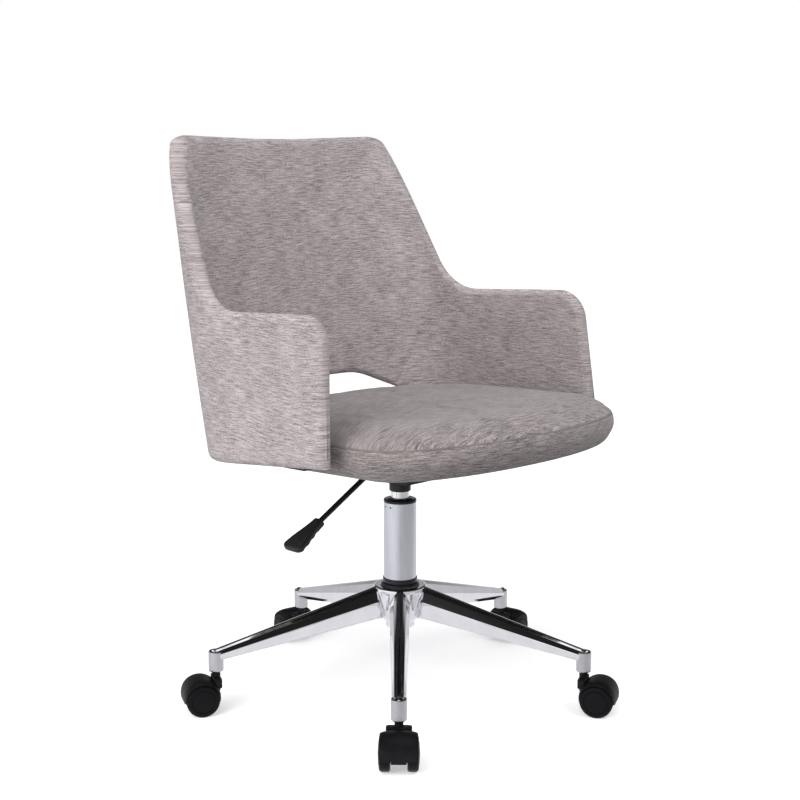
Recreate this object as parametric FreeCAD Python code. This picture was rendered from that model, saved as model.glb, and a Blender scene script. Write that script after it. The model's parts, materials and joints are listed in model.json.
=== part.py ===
import FreeCAD, Part
import math
import os

# Swivel office chair: a five-arm caster base, a gas lift column and an upholstered bucket seat.
# Millimetres. The origin is on the floor under the column's axis, +Z is up, the sitter looks along -Y
# and +X is at the sitter's left hand. The seat stands at its lowest height.

V = FreeCAD.Vector

# ---- Clearances ----
RUN = 0.05           # radial running clearance of a shaft in its bore
SEAT = 0.3           # gap between faces of two bodies that bear on each other
CUT = 1.0            # how far a cutting tool runs past the face it opens

# ---- Casters ----
CASTER_COUNT = 5
FIRST_ARM_DEG = 8.9
STEM_CIRCLE_R = 288.0
WHEEL_R = 25.0
WHEEL_WIDTH = 16.0
WHEEL_GAP = 23.0
WHEEL_DOME = 1.3
WHEEL_EDGE = 2.0
TRAIL = 24.0
AXLE_R = 4.0
AXLE_BITE = 10.7
HOOD_WALL = 3.2
HOOD_CLEARANCE = 1.3
HOOD_WIDTH = 53.0
HOOD_SKIRT_Z = 23.0
WEB_GAP = 0.5
AXLE_EYE_R = 9.0
BOSS_R = 11.0
BOSS_BOTTOM_Z = 32.0
BOSS_TOP_Z = 59.0
NECK_R = 6.5
STEM_R = 5.5
STEM_LENGTH = 22.0
STEM_PIN_R = 4.0
STEM_HEAD_R = 4.9
STEM_HEAD_HEIGHT = 3.2
STEM_HEAD_Z = 36.0
GRIP_GROOVE_DEPTH = 0.9
GRIP_GROOVE_Z = 12.5
GRIP_GROOVE_HEIGHT = 2.5
GRIP_RING_LIP = 0.04

# ---- Base star ----
SOCKET_R = 10.5
SOCKET_BOTTOM_Z = 67.5
SOCKET_SPIGOT_R = 8.0
SOCKET_ROOF = 1.8
ARM_ROOT_R = 30.0
ARM_ROOT_HALF_WIDTH = 15.75
ARM_ROOT_TOP_Z = 173.0
ARM_ROOT_BOTTOM_Z = 124.0
ARM_TIP_TOP_Z = 96.0
ARM_TIP_BOTTOM_Z = 79.0
ARM_FOOT_SHARE = 0.84
ARM_RIDGE_SHARE = 0.5
ARM_RIDGE_DROP = 0.12
ARM_CREASE_SHARE = 0.55
ARM_WALL = 3.0
ARM_TIP_FILLET = 2.5
HUB_RIM_R = 40.5
HUB_RIM_Z = 171.0
HUB_RIM_HEIGHT = 6.0
HUB_WAIST_R = 32.0
HUB_WAIST_Z = 125.0
HUB_FOOT_R = 21.5
HUB_FOOT_TOP_Z = 112.0
HUB_FOOT_Z = 105.0
HUB_FOOT_BORE_R = 18.5
HUB_FLUTE_R = 12.0
HUB_FLUTE_CENTRE_R = 47.0
HUB_FLUTE_BOTTOM_Z = 128.0
HUB_LEDGE_Z = 120.5

# ---- Gas lift ----
COLUMN_R = 25.0
COLUMN_FOOT_R = 24.0
COLUMN_BORE_R = 22.4
COLUMN_BOTTOM_Z = 121.0
COLUMN_TOP_Z = 301.0
COLUMN_LIP = 1.5
COLUMN_LIP_R = 18.0
COLLAR_R = 26.5
COLLAR_BOTTOM_Z = 167.5
COLLAR_TOP_Z = 183.0
COLLAR_RECESS_R = 30.0
RING_TOP_Z = 305.5
GUIDE_BOTTOM_Z = 250.0
LIFT_TRAVEL = 100.0
TUBE_R = 14.0
TUBE_WALL = 2.0
TUBE_BOTTOM_Z = 140.0
TUBE_TAPER_Z = 324.5
TUBE_TOP_Z = 346.5
TUBE_TOP_R = 13.3
TUBE_TOP_LIP = 3.0
ROD_R = 5.0
ROD_FOOT_R = 4.0
ROD_BOTTOM_Z = 113.0
PLATE_THICKNESS = 3.0
PLATE_HOLE_GAP = 0.3
RACE_R_IN = 6.0
RACE_R_OUT = 15.0
RACE_THICKNESS = 2.0
BALL_R = 2.0
BALL_COUNT = 8
BALL_CIRCLE_R = 10.5
CAGE_THICKNESS = 1.2
CAGE_HALF_WIDTH = 3.2
BUMPER_R = 14.0
CLIP_R = 9.0
CLIP_THICKNESS = 1.3
CLIP_GROOVE_R = 3.2
PISTON_HEIGHT = 12.0
PISTON_GAP = 0.3
PISTON_ABOVE_SEAL = 2.0
SEAL_BOTTOM = 2.0
SEAL_HEIGHT = 18.0
VALVE_HEIGHT = 29.0
PIN_R = 3.5
PIN_TIP_R = 1.0
PIN_TIP_HEIGHT = 2.0
PIN_DEPTH = 15.0
PIN_STROKE_ROOM = 5.0
PIN_TOP_Z = 352.5

# ---- Seat frame: a frame tilted back about the axis at the underside of the seat ----
SEAT_Z = 385.5
SEAT_TILT_DEG = 2.5
BOARD_THICKNESS = 12.0
BOARD_INSET = 26.0
DUST_THICKNESS = 1.0
DUST_INSET = 6.0
PLATE_HALF_X = 85.0
PLATE_HALF_Y = 100.0
STEEL = 3.0
PLATE_CORNER_R = 14.0
HOUSING_HALF_X = 45.0
HOUSING_HALF_Y = 58.0
HOUSING_DEPTH = 47.0
HOUSING_WALL = 2.5
SOCKET_TUBE_R = 16.5
SOCKET_TUBE_BOTTOM_Z = 323.5
SOCKET_TUBE_TOP_Z = 348.0
BOLT_X = 70.0
BOLT_Y = 82.0
BOLT_R = 3.0
BOLT_HEAD_R = 5.5
BOLT_HEAD = 4.0
WASHER_R = 8.0
WASHER = 1.5
NUT_FLANGE_R = 9.5
NUT_FLANGE = 1.5
NUT_BARREL_R = 4.2
NUT_BARREL = 9.0

# ---- Lever ----
LEVER_ROD_R = 4.0
LEVER_PIVOT_X = -36.0
LEVER_INNER_X = 4.0
LEVER_BEND_X = -60.0
LEVER_END_X = -205.0
LEVER_END_Z = 274.4
LEVER_BEND_R = 14.0
LEVER_BOSS_R = 6.5
LEVER_BOSS_HALF = 7.0
PIVOT_PIN_R = 2.5
PIVOT_PIN_HALF = 13.0
LUG_THICKNESS = 3.0
LUG_HALF_X = 7.0
SLOT_HALF_Y = 6.0
SLOT_HALF_Z = 8.0
PADDLE_X0 = -163.0
PADDLE_LENGTH = 66.0
PADDLE_ROOT_HALF = 8.0
PADDLE_END_HALF = 19.0
PADDLE_THICKNESS = 12.0
PADDLE_CORNER_R = 8.0
PADDLE_EDGE_R = 3.0
PADDLE_RECESS = 1.0
PADDLE_RECESS_MARGIN = 5.0

# ---- Shell: a U-shaped wall whose plan is a superellipse behind straight, splayed arms ----
SHELL_LOW_Z = 386.5
SHELL_HIGH_Z = 846.5
SHELL_HALF_WIDTH = (284.5, 238.5)
SHELL_BACK_Y = (213.0, 289.0)
SHELL_CORNER_DEPTH = (157.0, 59.5)
SHELL_EXPONENT = (2.5, 3.7)
SHELL_SPLAY = 0.062
SHELL_BOTTOM_Z = 397.5
SHELL_BOTTOM_TILT_DEG = 6.1
SHELL_THICKNESS = 22.0
OUTER_PAD = 7.0
CORE = 10.0
CORE_INSET = 9.0
ARM_FRONT_FOOT_Y = -153.5
ARM_FRONT_TOP_Y = -130.5
ARM_FRONT_Z = 614.5
ARM_CORNER_R = 45.0
WING_ROOT_Y = 135.0
WING_ROOT_Z = 601.5
WING_ROOT_R = 85.0
WING_TOP_Y = 272.0
WING_TOP_Z = 852.0
WING_CORNER_R = 24.0
TOP_DIP = 7.0
TOP_CORNER_R = 30.0
OPENING_TOP_Z = 468.0
OPENING_BOTTOM_Z = 413.5
OPENING_CROWN_HALF = 112.0
OPENING_HALF = 200.0
OPENING_SHOULDER_Z = 432.0
OPENING_FOOT_HALF = 192.0
OPENING_CROWN_R = 110.0
OPENING_CORNER_R = 9.0
SHELL_FLARE_HALF = 300.0     # half width of the front view's slanting side at SHELL_FLARE_Z
SHELL_FLARE_Z = 600.0
SHELL_SHOULDER_HALF = 231.0
TOP_DIP_R = 2500.0
REACH = 500.0                # how far the shapes that trim the shell run beyond it
PLAN_STEPS = 14              # points on a quarter of the shell's plan
LOFT_STEPS = 5               # spans between the plans that the shell is lofted through
LOFT_HEADROOM = 40.0

# ---- Cushion ----
CUSHION_HEIGHT = 66.0
CUSHION_SIDE_GAP = 9.0
CUSHION_FRONT_HALF_WIDTH = 250.0
CUSHION_BACK_GAP = 1.5
CUSHION_FRONT_Y = -291.0
CUSHION_FRONT_DEPTH = 110.0
CUSHION_FRONT_EXPONENT = 2.1
CUSHION_TOP_R = 24.0
CUSHION_FOOT_R = 20.0

# ---- Brackets that tie the shell to the seat board ----
BRACKET_HALF = 24.0
BRACKET_Y = -70.0
BRACKET_RISE = 54.0
BRACKET_REAR_RISE = 26.0
BRACKET_FOOT = 70.0
BRACKET_SLACK = 0.4
BRACKET_SIDE_SPAN = (200.0, 330.0)   # from the middle: what a side leaf may take of the shell's inner wall
BRACKET_REAR_SPAN = (150.0, 260.0)
BRACKET_BOLT_PITCH = 26.0
BRACKET_BOLT_W = 38.0
BRACKET_REAR_BOLT_W = 15.0
BUTTON_R = 5.5
BUTTON = 3.0
HEAD_GAP = 0.15              # room under a flat head on the shell's curved wall
NUT_GAP = 0.6
SHELL_NUT_R = 7.5
SCREW_R = 2.2
SCREW_HEAD_R = 4.5
SCREW_HEAD = 2.5
SCREW_DEPTH = 11.0
SCREW_STEP = 22.0


def save(name, shape):
    """Write one node, from a single solid or a list of separate solids."""
    solids = shape if isinstance(shape, list) else shape.Solids
    group = Part.makeCompound(solids) if len(solids) > 1 else solids[0]
    group.exportStep(os.path.join("parts", name + ".step"))
    print("%-22s solids %2d  volume %9.1f" % (name, len(solids), sum(s.Volume for s in solids)))


def tube(r_out, r_in, low, high, x=0.0, y=0.0):
    """An upright ring, tube or, with no inner radius, a cylinder."""
    body = Part.makeCylinder(r_out, high - low, V(x, y, low))
    if r_in > 0.0:
        body = body.cut(Part.makeCylinder(r_in, high - low + 2 * CUT, V(x, y, low - CUT)))
    return body


def block(low, high):
    """A box between two corners."""
    return Part.makeBox(high[0] - low[0], high[1] - low[1], high[2] - low[2], V(*low))


def turned(profile, axis=V(0, 0, 1)):
    """A solid of revolution from (radius, height) points, about Z or about Y through the origin."""
    flat = [V(r, 0, h) if axis.z else V(r, h, 0) for r, h in profile]
    face = Part.Face(Part.makePolygon(flat + flat[:1]))
    return face.revolve(V(0, 0, 0), axis, 360)


def rounded_wire(points, radii):
    """A closed wire through corner points, each corner rounded with a tangent arc of its radius."""
    count = len(points)
    edges = []
    leave = []
    enter = []
    for i, corner in enumerate(points):
        before = points[i - 1].sub(corner)
        after = points[(i + 1) % count].sub(corner)
        half = before.getAngle(after) / 2.0
        setback = radii[i] / math.tan(half)
        start = corner.add(V(before).normalize() * setback)
        end = corner.add(V(after).normalize() * setback)
        enter.append(start)
        leave.append(end)
        if radii[i] > 0.0:
            inward = (V(before).normalize() + V(after).normalize()).normalize()
            middle = corner.add(inward * (radii[i] / math.sin(half) - radii[i]))
            edges.append(Part.Arc(start, middle, end).toShape())
        edges.append(None)
    step = 0
    for i, edge in enumerate(edges):
        if edge is None:
            edges[i] = Part.LineSegment(leave[step], enter[(step + 1) % count]).toShape()
            step += 1
    return Part.Wire(edges)


def prism(points, radii, along):
    """A rounded outline carried straight along a vector."""
    return Part.Face(rounded_wire(points, radii)).extrude(along)


def tilted(shape):
    """Turn a shape from the seat's own level frame, raised to the seat, into its tilted place."""
    placed = shape.copy()
    placed.translate(V(0, 0, SEAT_Z))
    placed.rotate(V(0, 0, SEAT_Z), V(1, 0, 0), -SEAT_TILT_DEG)
    return placed


def around(shape, index):
    """Turn a shape from the +X direction to the direction of one arm."""
    placed = shape.copy()
    placed.rotate(V(0, 0, 0), V(0, 0, 1), FIRST_ARM_DEG + index * 360.0 / CASTER_COUNT)
    return placed


# ---- Base star ----

def arm_wire(radius, inset, floor_drop):
    """The arm's section at one radius: tapering sides, a crease at mid height and a round ridge."""
    share = (radius - ARM_ROOT_R) / (STEM_CIRCLE_R - ARM_ROOT_R)
    top = ARM_ROOT_TOP_Z + share * (ARM_TIP_TOP_Z - ARM_ROOT_TOP_Z) - inset
    low = ARM_ROOT_BOTTOM_Z + share * (ARM_TIP_BOTTOM_Z - ARM_ROOT_BOTTOM_Z)
    half = ARM_ROOT_HALF_WIDTH + share * (SOCKET_R - ARM_ROOT_HALF_WIDTH) - inset
    height = top - low
    foot = V(radius, half * ARM_FOOT_SHARE, low - floor_drop)
    crease = V(radius, half, low + height * ARM_CREASE_SHARE)
    ridge = V(radius, half * ARM_RIDGE_SHARE, top - height * ARM_RIDGE_DROP)
    mirror = [V(p.x, -p.y, p.z) for p in (foot, crease, ridge)]
    edges = [Part.makeLine(mirror[0], foot), Part.makeLine(foot, crease), Part.makeLine(crease, ridge)]
    edges.append(Part.Arc(ridge, V(radius, 0, top), mirror[2]).toShape())
    edges += [Part.makeLine(mirror[2], mirror[1]), Part.makeLine(mirror[1], mirror[0])]
    return Part.Wire(edges)


def base_arm(hub_envelope):
    """One pressed arm, hollow from below, with a solid end that takes the caster socket."""
    skin = Part.makeLoft([arm_wire(ARM_ROOT_R, 0, 0), arm_wire(STEM_CIRCLE_R, 0, 0)], True)
    end = tube(SOCKET_R, 0, ARM_TIP_BOTTOM_Z, ARM_TIP_TOP_Z - 1.0, STEM_CIRCLE_R)
    rim = [e for e in end.Edges if e.BoundBox.ZMin > ARM_TIP_TOP_Z - 2.0]
    end = end.makeFillet(ARM_TIP_FILLET, rim)
    hollow_end = STEM_CIRCLE_R - SOCKET_R - ARM_WALL
    hollow = Part.makeLoft([arm_wire(ARM_ROOT_R - CUT, ARM_WALL, CUT),
                            arm_wire(hollow_end, ARM_WALL, CUT)], True)
    arm = skin.fuse(end).cut(hollow).removeSplitter()
    bore = tube(SOCKET_SPIGOT_R + RUN, 0, ARM_TIP_BOTTOM_Z - CUT, ARM_TIP_TOP_Z - 1.0 - ARM_WALL,
                STEM_CIRCLE_R)
    over_rim = tube(HUB_RIM_R, 0, HUB_RIM_Z - CUT, ARM_ROOT_TOP_Z + CUT)
    return arm.cut(bore).cut(hub_envelope).cut(over_rim)


def base_hub():
    """The hub ring with its taper bore, its collar recess and a flute between each pair of arms."""
    outside = turned([(0, HUB_FOOT_Z), (HUB_FOOT_R, HUB_FOOT_Z), (HUB_FOOT_R, HUB_FOOT_TOP_Z),
                      (HUB_WAIST_R, HUB_WAIST_Z), (HUB_RIM_R, HUB_RIM_Z - HUB_RIM_HEIGHT),
                      (HUB_RIM_R, HUB_RIM_Z), (0, HUB_RIM_Z)])
    bore = turned([(0, HUB_LEDGE_Z), (COLUMN_FOOT_R + RUN, HUB_LEDGE_Z),
                   (COLUMN_FOOT_R + RUN, COLUMN_BOTTOM_Z), (COLUMN_R + RUN, COLLAR_BOTTOM_Z),
                   (COLLAR_RECESS_R, COLLAR_BOTTOM_Z), (COLLAR_RECESS_R, HUB_RIM_Z + CUT),
                   (0, HUB_RIM_Z + CUT)])
    hub = outside.cut(bore).cut(tube(HUB_FOOT_BORE_R, 0, HUB_FOOT_Z - CUT, HUB_LEDGE_Z + CUT))
    for i in range(CASTER_COUNT):
        angle = math.radians(FIRST_ARM_DEG + (i + 0.5) * 360.0 / CASTER_COUNT)
        flute = tube(HUB_FLUTE_R, 0, HUB_FLUTE_BOTTOM_Z, HUB_RIM_Z - HUB_RIM_HEIGHT,
                     HUB_FLUTE_CENTRE_R * math.cos(angle), HUB_FLUTE_CENTRE_R * math.sin(angle))
        hub = hub.cut(flute)
    return outside, hub


def caster_socket():
    """The sleeve under an arm's end, with a spigot inside the arm and a bore for the stem."""
    top = ARM_TIP_TOP_Z - 1.0 - ARM_WALL - SEAT
    sleeve = tube(SOCKET_R, 0, SOCKET_BOTTOM_Z, ARM_TIP_BOTTOM_Z - 0.1, STEM_CIRCLE_R)
    spigot = tube(SOCKET_SPIGOT_R, 0, SOCKET_BOTTOM_Z, top, STEM_CIRCLE_R)
    bore = tube(STEM_R + 2 * RUN, 0, SOCKET_BOTTOM_Z - CUT, top - SOCKET_ROOF, STEM_CIRCLE_R)
    return sleeve.fuse(spigot).removeSplitter().cut(bore)


def caster_stem():
    """The turned stem: a body in the socket, a pin in the hood and a snap head at its foot."""
    head_top = STEM_HEAD_Z + STEM_HEAD_HEIGHT
    groove = SOCKET_BOTTOM_Z + GRIP_GROOVE_Z
    groove_r = STEM_R - GRIP_GROOVE_DEPTH
    profile = [(0, STEM_HEAD_Z), (STEM_HEAD_R - 1.0, STEM_HEAD_Z), (STEM_HEAD_R, STEM_HEAD_Z + 1.0),
               (STEM_HEAD_R, head_top), (STEM_PIN_R, head_top), (STEM_PIN_R, SOCKET_BOTTOM_Z),
               (STEM_R, SOCKET_BOTTOM_Z), (STEM_R, groove), (groove_r, groove),
               (groove_r, groove + GRIP_GROOVE_HEIGHT), (STEM_R, groove + GRIP_GROOVE_HEIGHT),
               (STEM_R, SOCKET_BOTTOM_Z + STEM_LENGTH - 1.0),
               (STEM_R - 1.0, SOCKET_BOTTOM_Z + STEM_LENGTH), (0, SOCKET_BOTTOM_Z + STEM_LENGTH)]
    stem = turned(profile)
    stem.translate(V(STEM_CIRCLE_R, 0, 0))
    return stem


def grip_ring():
    """The split spring ring in the stem's groove."""
    low = SOCKET_BOTTOM_Z + GRIP_GROOVE_Z + 0.1
    high = low + GRIP_GROOVE_HEIGHT - 0.2
    ring = tube(STEM_R + GRIP_RING_LIP, STEM_R - GRIP_GROOVE_DEPTH + RUN, low, high, STEM_CIRCLE_R)
    gap = block((STEM_CIRCLE_R, -1.0, low - CUT), (STEM_CIRCLE_R + 2 * STEM_R, 1.0, high + CUT))
    return ring.cut(gap)


# ---- Casters, built trailing outward from a stem on the STEM_CIRCLE_R ----

AXLE_X = STEM_CIRCLE_R + TRAIL
HOOD_R = WHEEL_R + HOOD_CLEARANCE + HOOD_WALL


def across(radius, half_width, centre_z=WHEEL_R):
    """A cylinder across the caster, on the axle's line."""
    return Part.makeCylinder(radius, 2 * half_width, V(AXLE_X, -half_width, centre_z), V(0, 1, 0))


def caster_hood():
    """The moulded yoke: a web between the wheels, an arched hood over them and the stem's boss."""
    web_half = WHEEL_GAP / 2 - WEB_GAP
    above = block((AXLE_X - HOOD_R - CUT, -HOOD_WIDTH, HOOD_SKIRT_Z),
                  (AXLE_X + HOOD_R + CUT, HOOD_WIDTH, WHEEL_R + HOOD_R + CUT))
    arch = across(HOOD_R, HOOD_WIDTH / 2).cut(across(WHEEL_R + HOOD_CLEARANCE, HOOD_WIDTH))
    web = across(HOOD_R - 1.0, web_half)
    hood = arch.fuse(web).common(above)
    boss = tube(BOSS_R, 0, BOSS_BOTTOM_Z, BOSS_TOP_Z, STEM_CIRCLE_R)
    bridge = block((STEM_CIRCLE_R, -web_half, BOSS_BOTTOM_Z), (AXLE_X, web_half, BOSS_TOP_Z - 6.0))
    neck = tube(NECK_R, 0, BOSS_TOP_Z - CUT, SOCKET_BOTTOM_Z - SEAT, STEM_CIRCLE_R)
    hood = hood.fuse([across(AXLE_EYE_R, web_half), boss, bridge, neck]).removeSplitter()
    recess = tube(STEM_HEAD_R + SEAT, 0, STEM_HEAD_Z - CUT,
                  STEM_HEAD_Z + STEM_HEAD_HEIGHT + SEAT, STEM_CIRCLE_R)
    bore = tube(STEM_PIN_R + 2 * RUN, 0, STEM_HEAD_Z, BOSS_TOP_Z + STEM_LENGTH, STEM_CIRCLE_R)
    return hood.cut(recess).cut(bore).cut(across(AXLE_R, WHEEL_GAP))


def caster_wheel(side):
    """One moulded wheel with a domed face and a blind bore for the axle."""
    near = WHEEL_GAP / 2
    far = near + WHEEL_WIDTH
    bore = AXLE_R + RUN
    bottom = near + AXLE_BITE + 0.5
    profile = [(bore, near), (WHEEL_R - WHEEL_EDGE, near), (WHEEL_R, near + WHEEL_EDGE),
               (WHEEL_R, far - 2 * WHEEL_EDGE), (WHEEL_R - WHEEL_EDGE, far - 0.5 * WHEEL_EDGE),
               (WHEEL_R / 2, far + 0.7 * WHEEL_DOME), (0, far + WHEEL_DOME), (0, bottom), (bore, bottom)]
    wheel = turned([(r, side * y) for r, y in profile], V(0, 1, 0))
    wheel.translate(V(AXLE_X, 0, WHEEL_R))
    return wheel


# ---- Gas lift ----

PLATE_Z = COLUMN_BOTTOM_Z + COLUMN_LIP
RACE_Z = PLATE_Z + PLATE_THICKNESS
UPPER_RACE_Z = RACE_Z + RACE_THICKNESS + 2 * BALL_R + RUN + SEAT
SHOULDER_Z = UPPER_RACE_Z + RACE_THICKNESS
PISTON_Z = TUBE_BOTTOM_Z + LIFT_TRAVEL + SEAL_BOTTOM + SEAL_HEIGHT + PISTON_ABOVE_SEAL


def column_tube():
    """The outer tube: straight above the hub, tapered inside it, with a rolled lip at its foot."""
    return turned([(COLUMN_LIP_R, COLUMN_BOTTOM_Z), (COLUMN_FOOT_R, COLUMN_BOTTOM_Z),
                   (COLUMN_R, COLLAR_BOTTOM_Z), (COLUMN_R, COLUMN_TOP_Z), (COLUMN_BORE_R, COLUMN_TOP_Z),
                   (COLUMN_BORE_R, PLATE_Z), (COLUMN_LIP_R, PLATE_Z)])


def guide_bush():
    """The plastic bush that guides the pressure tube, with the flange seen on top of the column."""
    sleeve = tube(COLUMN_BORE_R - RUN, 0, GUIDE_BOTTOM_Z, COLUMN_TOP_Z + CUT)
    flange = tube(COLUMN_R, 0, COLUMN_TOP_Z, RING_TOP_Z)
    bore = tube(TUBE_R + RUN, 0, GUIDE_BOTTOM_Z - CUT, RING_TOP_Z + CUT)
    return sleeve.fuse(flange).removeSplitter().cut(bore)


def bearing_parts():
    """Lower race, caged balls and upper race of the thrust bearing that the rod turns on."""
    ball_z = RACE_Z + RACE_THICKNESS + BALL_R + RUN
    lower = tube(RACE_R_OUT, RACE_R_IN, RACE_Z, RACE_Z + RACE_THICKNESS)
    upper = tube(RACE_R_OUT, ROD_FOOT_R + RUN, UPPER_RACE_Z, SHOULDER_Z)
    cage = tube(BALL_CIRCLE_R + CAGE_HALF_WIDTH, BALL_CIRCLE_R - CAGE_HALF_WIDTH,
                ball_z - CAGE_THICKNESS / 2, ball_z + CAGE_THICKNESS / 2)
    balls = []
    for i in range(BALL_COUNT):
        angle = 2 * math.pi * i / BALL_COUNT
        centre = V(BALL_CIRCLE_R * math.cos(angle), BALL_CIRCLE_R * math.sin(angle), ball_z)
        balls.append(Part.makeSphere(BALL_R, centre))
        cage = cage.cut(Part.makeSphere(BALL_R + 2 * RUN, centre))
    return lower, cage, balls, upper


def piston_rod():
    """The rod: a stepped foot through the bearing, a clip groove and the piston at its head."""
    clip_low = PLATE_Z - SEAT - CLIP_THICKNESS
    foot = [(0, ROD_BOTTOM_Z), (ROD_FOOT_R, ROD_BOTTOM_Z), (ROD_FOOT_R, clip_low - 0.1),
            (CLIP_GROOVE_R, clip_low - 0.1), (CLIP_GROOVE_R, PLATE_Z - SEAT + 0.1),
            (ROD_FOOT_R, PLATE_Z - SEAT + 0.1), (ROD_FOOT_R, SHOULDER_Z + 0.1),
            (ROD_R, SHOULDER_Z + 0.1), (ROD_R, PISTON_Z + CUT), (0, PISTON_Z + CUT)]
    piston_r = TUBE_R - TUBE_WALL - PISTON_GAP
    return turned(foot).fuse(tube(piston_r, 0, PISTON_Z, PISTON_Z + PISTON_HEIGHT)).removeSplitter()


def rod_clip():
    """The spring clip under the foot plate that keeps the rod in the column."""
    low = PLATE_Z - SEAT - CLIP_THICKNESS
    clip = tube(CLIP_R, CLIP_GROOVE_R + 0.1, low, low + CLIP_THICKNESS)
    mouth = block((0, -CLIP_GROOVE_R + 0.4, low - CUT), (CLIP_R + CUT, CLIP_GROOVE_R - 0.4, PLATE_Z))
    return clip.cut(mouth)


def pressure_tube():
    """The sliding tube: an open foot for the seal and a tapered, rolled top round the valve."""
    inner = TUBE_R - TUBE_WALL
    return turned([(inner, TUBE_BOTTOM_Z), (TUBE_R, TUBE_BOTTOM_Z), (TUBE_R, TUBE_TAPER_Z),
                   (TUBE_TOP_R, TUBE_TOP_Z), (PIN_R + 2.0, TUBE_TOP_Z),
                   (PIN_R + 2.0, TUBE_TOP_Z - TUBE_TOP_LIP), (TUBE_TOP_R - TUBE_WALL, TUBE_TOP_Z - TUBE_TOP_LIP),
                   (inner, TUBE_TAPER_Z)])


def rod_seal():
    """The guide and seal that closes the pressure tube round the rod."""
    low = TUBE_BOTTOM_Z + SEAL_BOTTOM
    return tube(TUBE_R - TUBE_WALL - RUN, ROD_R + 2 * RUN, low, low + SEAL_HEIGHT)


def valve_body():
    """The valve plug under the pressure tube's rolled top, with the release pin's bore."""
    top = TUBE_TOP_Z - TUBE_TOP_LIP
    inner = TUBE_R - TUBE_WALL
    body = turned([(0, top - VALVE_HEIGHT), (inner - RUN, top - VALVE_HEIGHT), (inner - RUN, TUBE_TAPER_Z),
                   (TUBE_TOP_R - TUBE_WALL - RUN, top), (0, top)])
    bore_low = PIN_TOP_Z - PIN_TIP_HEIGHT - PIN_DEPTH - PIN_STROKE_ROOM
    return body.cut(tube(PIN_R + RUN, 0, bore_low, top + CUT))


def release_pin():
    """The pin that the lever presses, with a coned tip."""
    cone = PIN_TOP_Z - PIN_TIP_HEIGHT
    return turned([(0, cone - PIN_DEPTH), (PIN_R, cone - PIN_DEPTH), (PIN_R, cone),
                   (PIN_TIP_R, PIN_TOP_Z), (0, PIN_TOP_Z)])


# ---- Shell ----

def between(pair, z):
    """A shell dimension at a height, from its low and high values."""
    return pair[0] + (pair[1] - pair[0]) * (z - SHELL_LOW_Z) / (SHELL_HIGH_Z - SHELL_LOW_Z)


def plan_points(half, back, depth, exponent, count):
    """Points of the superellipse behind the arms, from the right side round the back to the left."""
    points = []
    for i in range(2 * count + 1):
        angle = math.pi * i / (2.0 * count)
        c = math.cos(angle)
        across_share = math.copysign(abs(c) ** (2.0 / exponent), c)
        y = back - depth + depth * math.sin(angle) ** (2.0 / exponent)
        points.append(V(across_share * (half - SHELL_SPLAY * (y - back + depth)), y, 0))
    return points


def shell_section(z, offset):
    """The closed plan of the shell's filled shape at one height, drawn in by an offset."""
    half = between(SHELL_HALF_WIDTH, z) - offset
    back = between(SHELL_BACK_Y, z) - offset
    depth = between(SHELL_CORNER_DEPTH, z) - offset / 2.0
    points = plan_points(half, back, depth, between(SHELL_EXPONENT, z), PLAN_STEPS)
    front_y = CUSHION_FRONT_Y
    front_half = half - SHELL_SPLAY * (front_y - back + depth)
    raised = [p.add(V(0, 0, z)) for p in points]
    curve = Part.BSplineCurve()
    curve.interpolate(raised)
    corners = [V(front_half, front_y, z), V(-front_half, front_y, z)]
    return Part.Wire([Part.makeLine(corners[0], raised[0]), curve.toShape(),
                      Part.makeLine(raised[-1], corners[1]), Part.makeLine(corners[1], corners[0])])


def shell_fill(offset):
    """The filled shape inside the shell's outer face, drawn in by an offset."""
    low = SEAT_Z - HOUSING_DEPTH
    step = (SHELL_HIGH_Z + LOFT_HEADROOM - low) / LOFT_STEPS
    return Part.makeLoft([shell_section(low + i * step, offset) for i in range(LOFT_STEPS + 1)], True)


def shell_outline(inset):
    """The shell's side and front views as solids, drawn in by an inset on every free edge."""
    lean = (ARM_FRONT_TOP_Y - ARM_FRONT_FOOT_Y) / (ARM_FRONT_Z - SHELL_LOW_Z)
    foot_z = SEAT_Z - HOUSING_DEPTH
    foot_y = ARM_FRONT_FOOT_Y + lean * (foot_z - SHELL_LOW_Z)
    wing = math.atan2(WING_TOP_Z - WING_ROOT_Z, WING_TOP_Y - WING_ROOT_Y)
    shift_y = inset * math.tan(wing / 2.0)
    left = -REACH
    side_points = [V(left, foot_y + inset, foot_z), V(left, ARM_FRONT_TOP_Y + inset, ARM_FRONT_Z - inset),
                   V(left, WING_ROOT_Y + shift_y, WING_ROOT_Z - inset),
                   V(left, WING_TOP_Y + inset / math.tan(wing / 2.0 + math.pi / 4.0), WING_TOP_Z - inset),
                   V(left, REACH, WING_TOP_Z - inset), V(left, REACH, foot_z)]
    side_radii = [0, ARM_CORNER_R - inset, WING_ROOT_R + inset, WING_CORNER_R - inset, 0, 0]
    side = prism(side_points, side_radii, V(2 * REACH, 0, 0))
    flare = SHELL_FLARE_HALF - inset
    shoulder = SHELL_SHOULDER_HALF - inset
    dip_z = WING_TOP_Z - TOP_DIP - inset
    half_view = [(-REACH, 0), (-REACH, SHELL_FLARE_Z), (-flare, SHELL_FLARE_Z),
                 (-shoulder, WING_TOP_Z - inset)]
    front_view = half_view + [(0, dip_z)] + [(-x, z) for x, z in reversed(half_view)]
    half_radii = [0, 0, 0, TOP_CORNER_R - inset]
    front = prism([V(x, -REACH, z) for x, z in front_view], half_radii + [TOP_DIP_R] + half_radii[::-1],
                  V(0, 2 * REACH, 0))
    above = block((-REACH, -REACH, 0), (REACH, REACH, 2 * REACH))
    above.translate(V(0, 0, SHELL_BOTTOM_Z + inset))
    above.rotate(V(0, 0, SHELL_BOTTOM_Z + inset), V(1, 0, 0), -SHELL_BOTTOM_TILT_DEG)
    return side.common(front).common(above)


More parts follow.
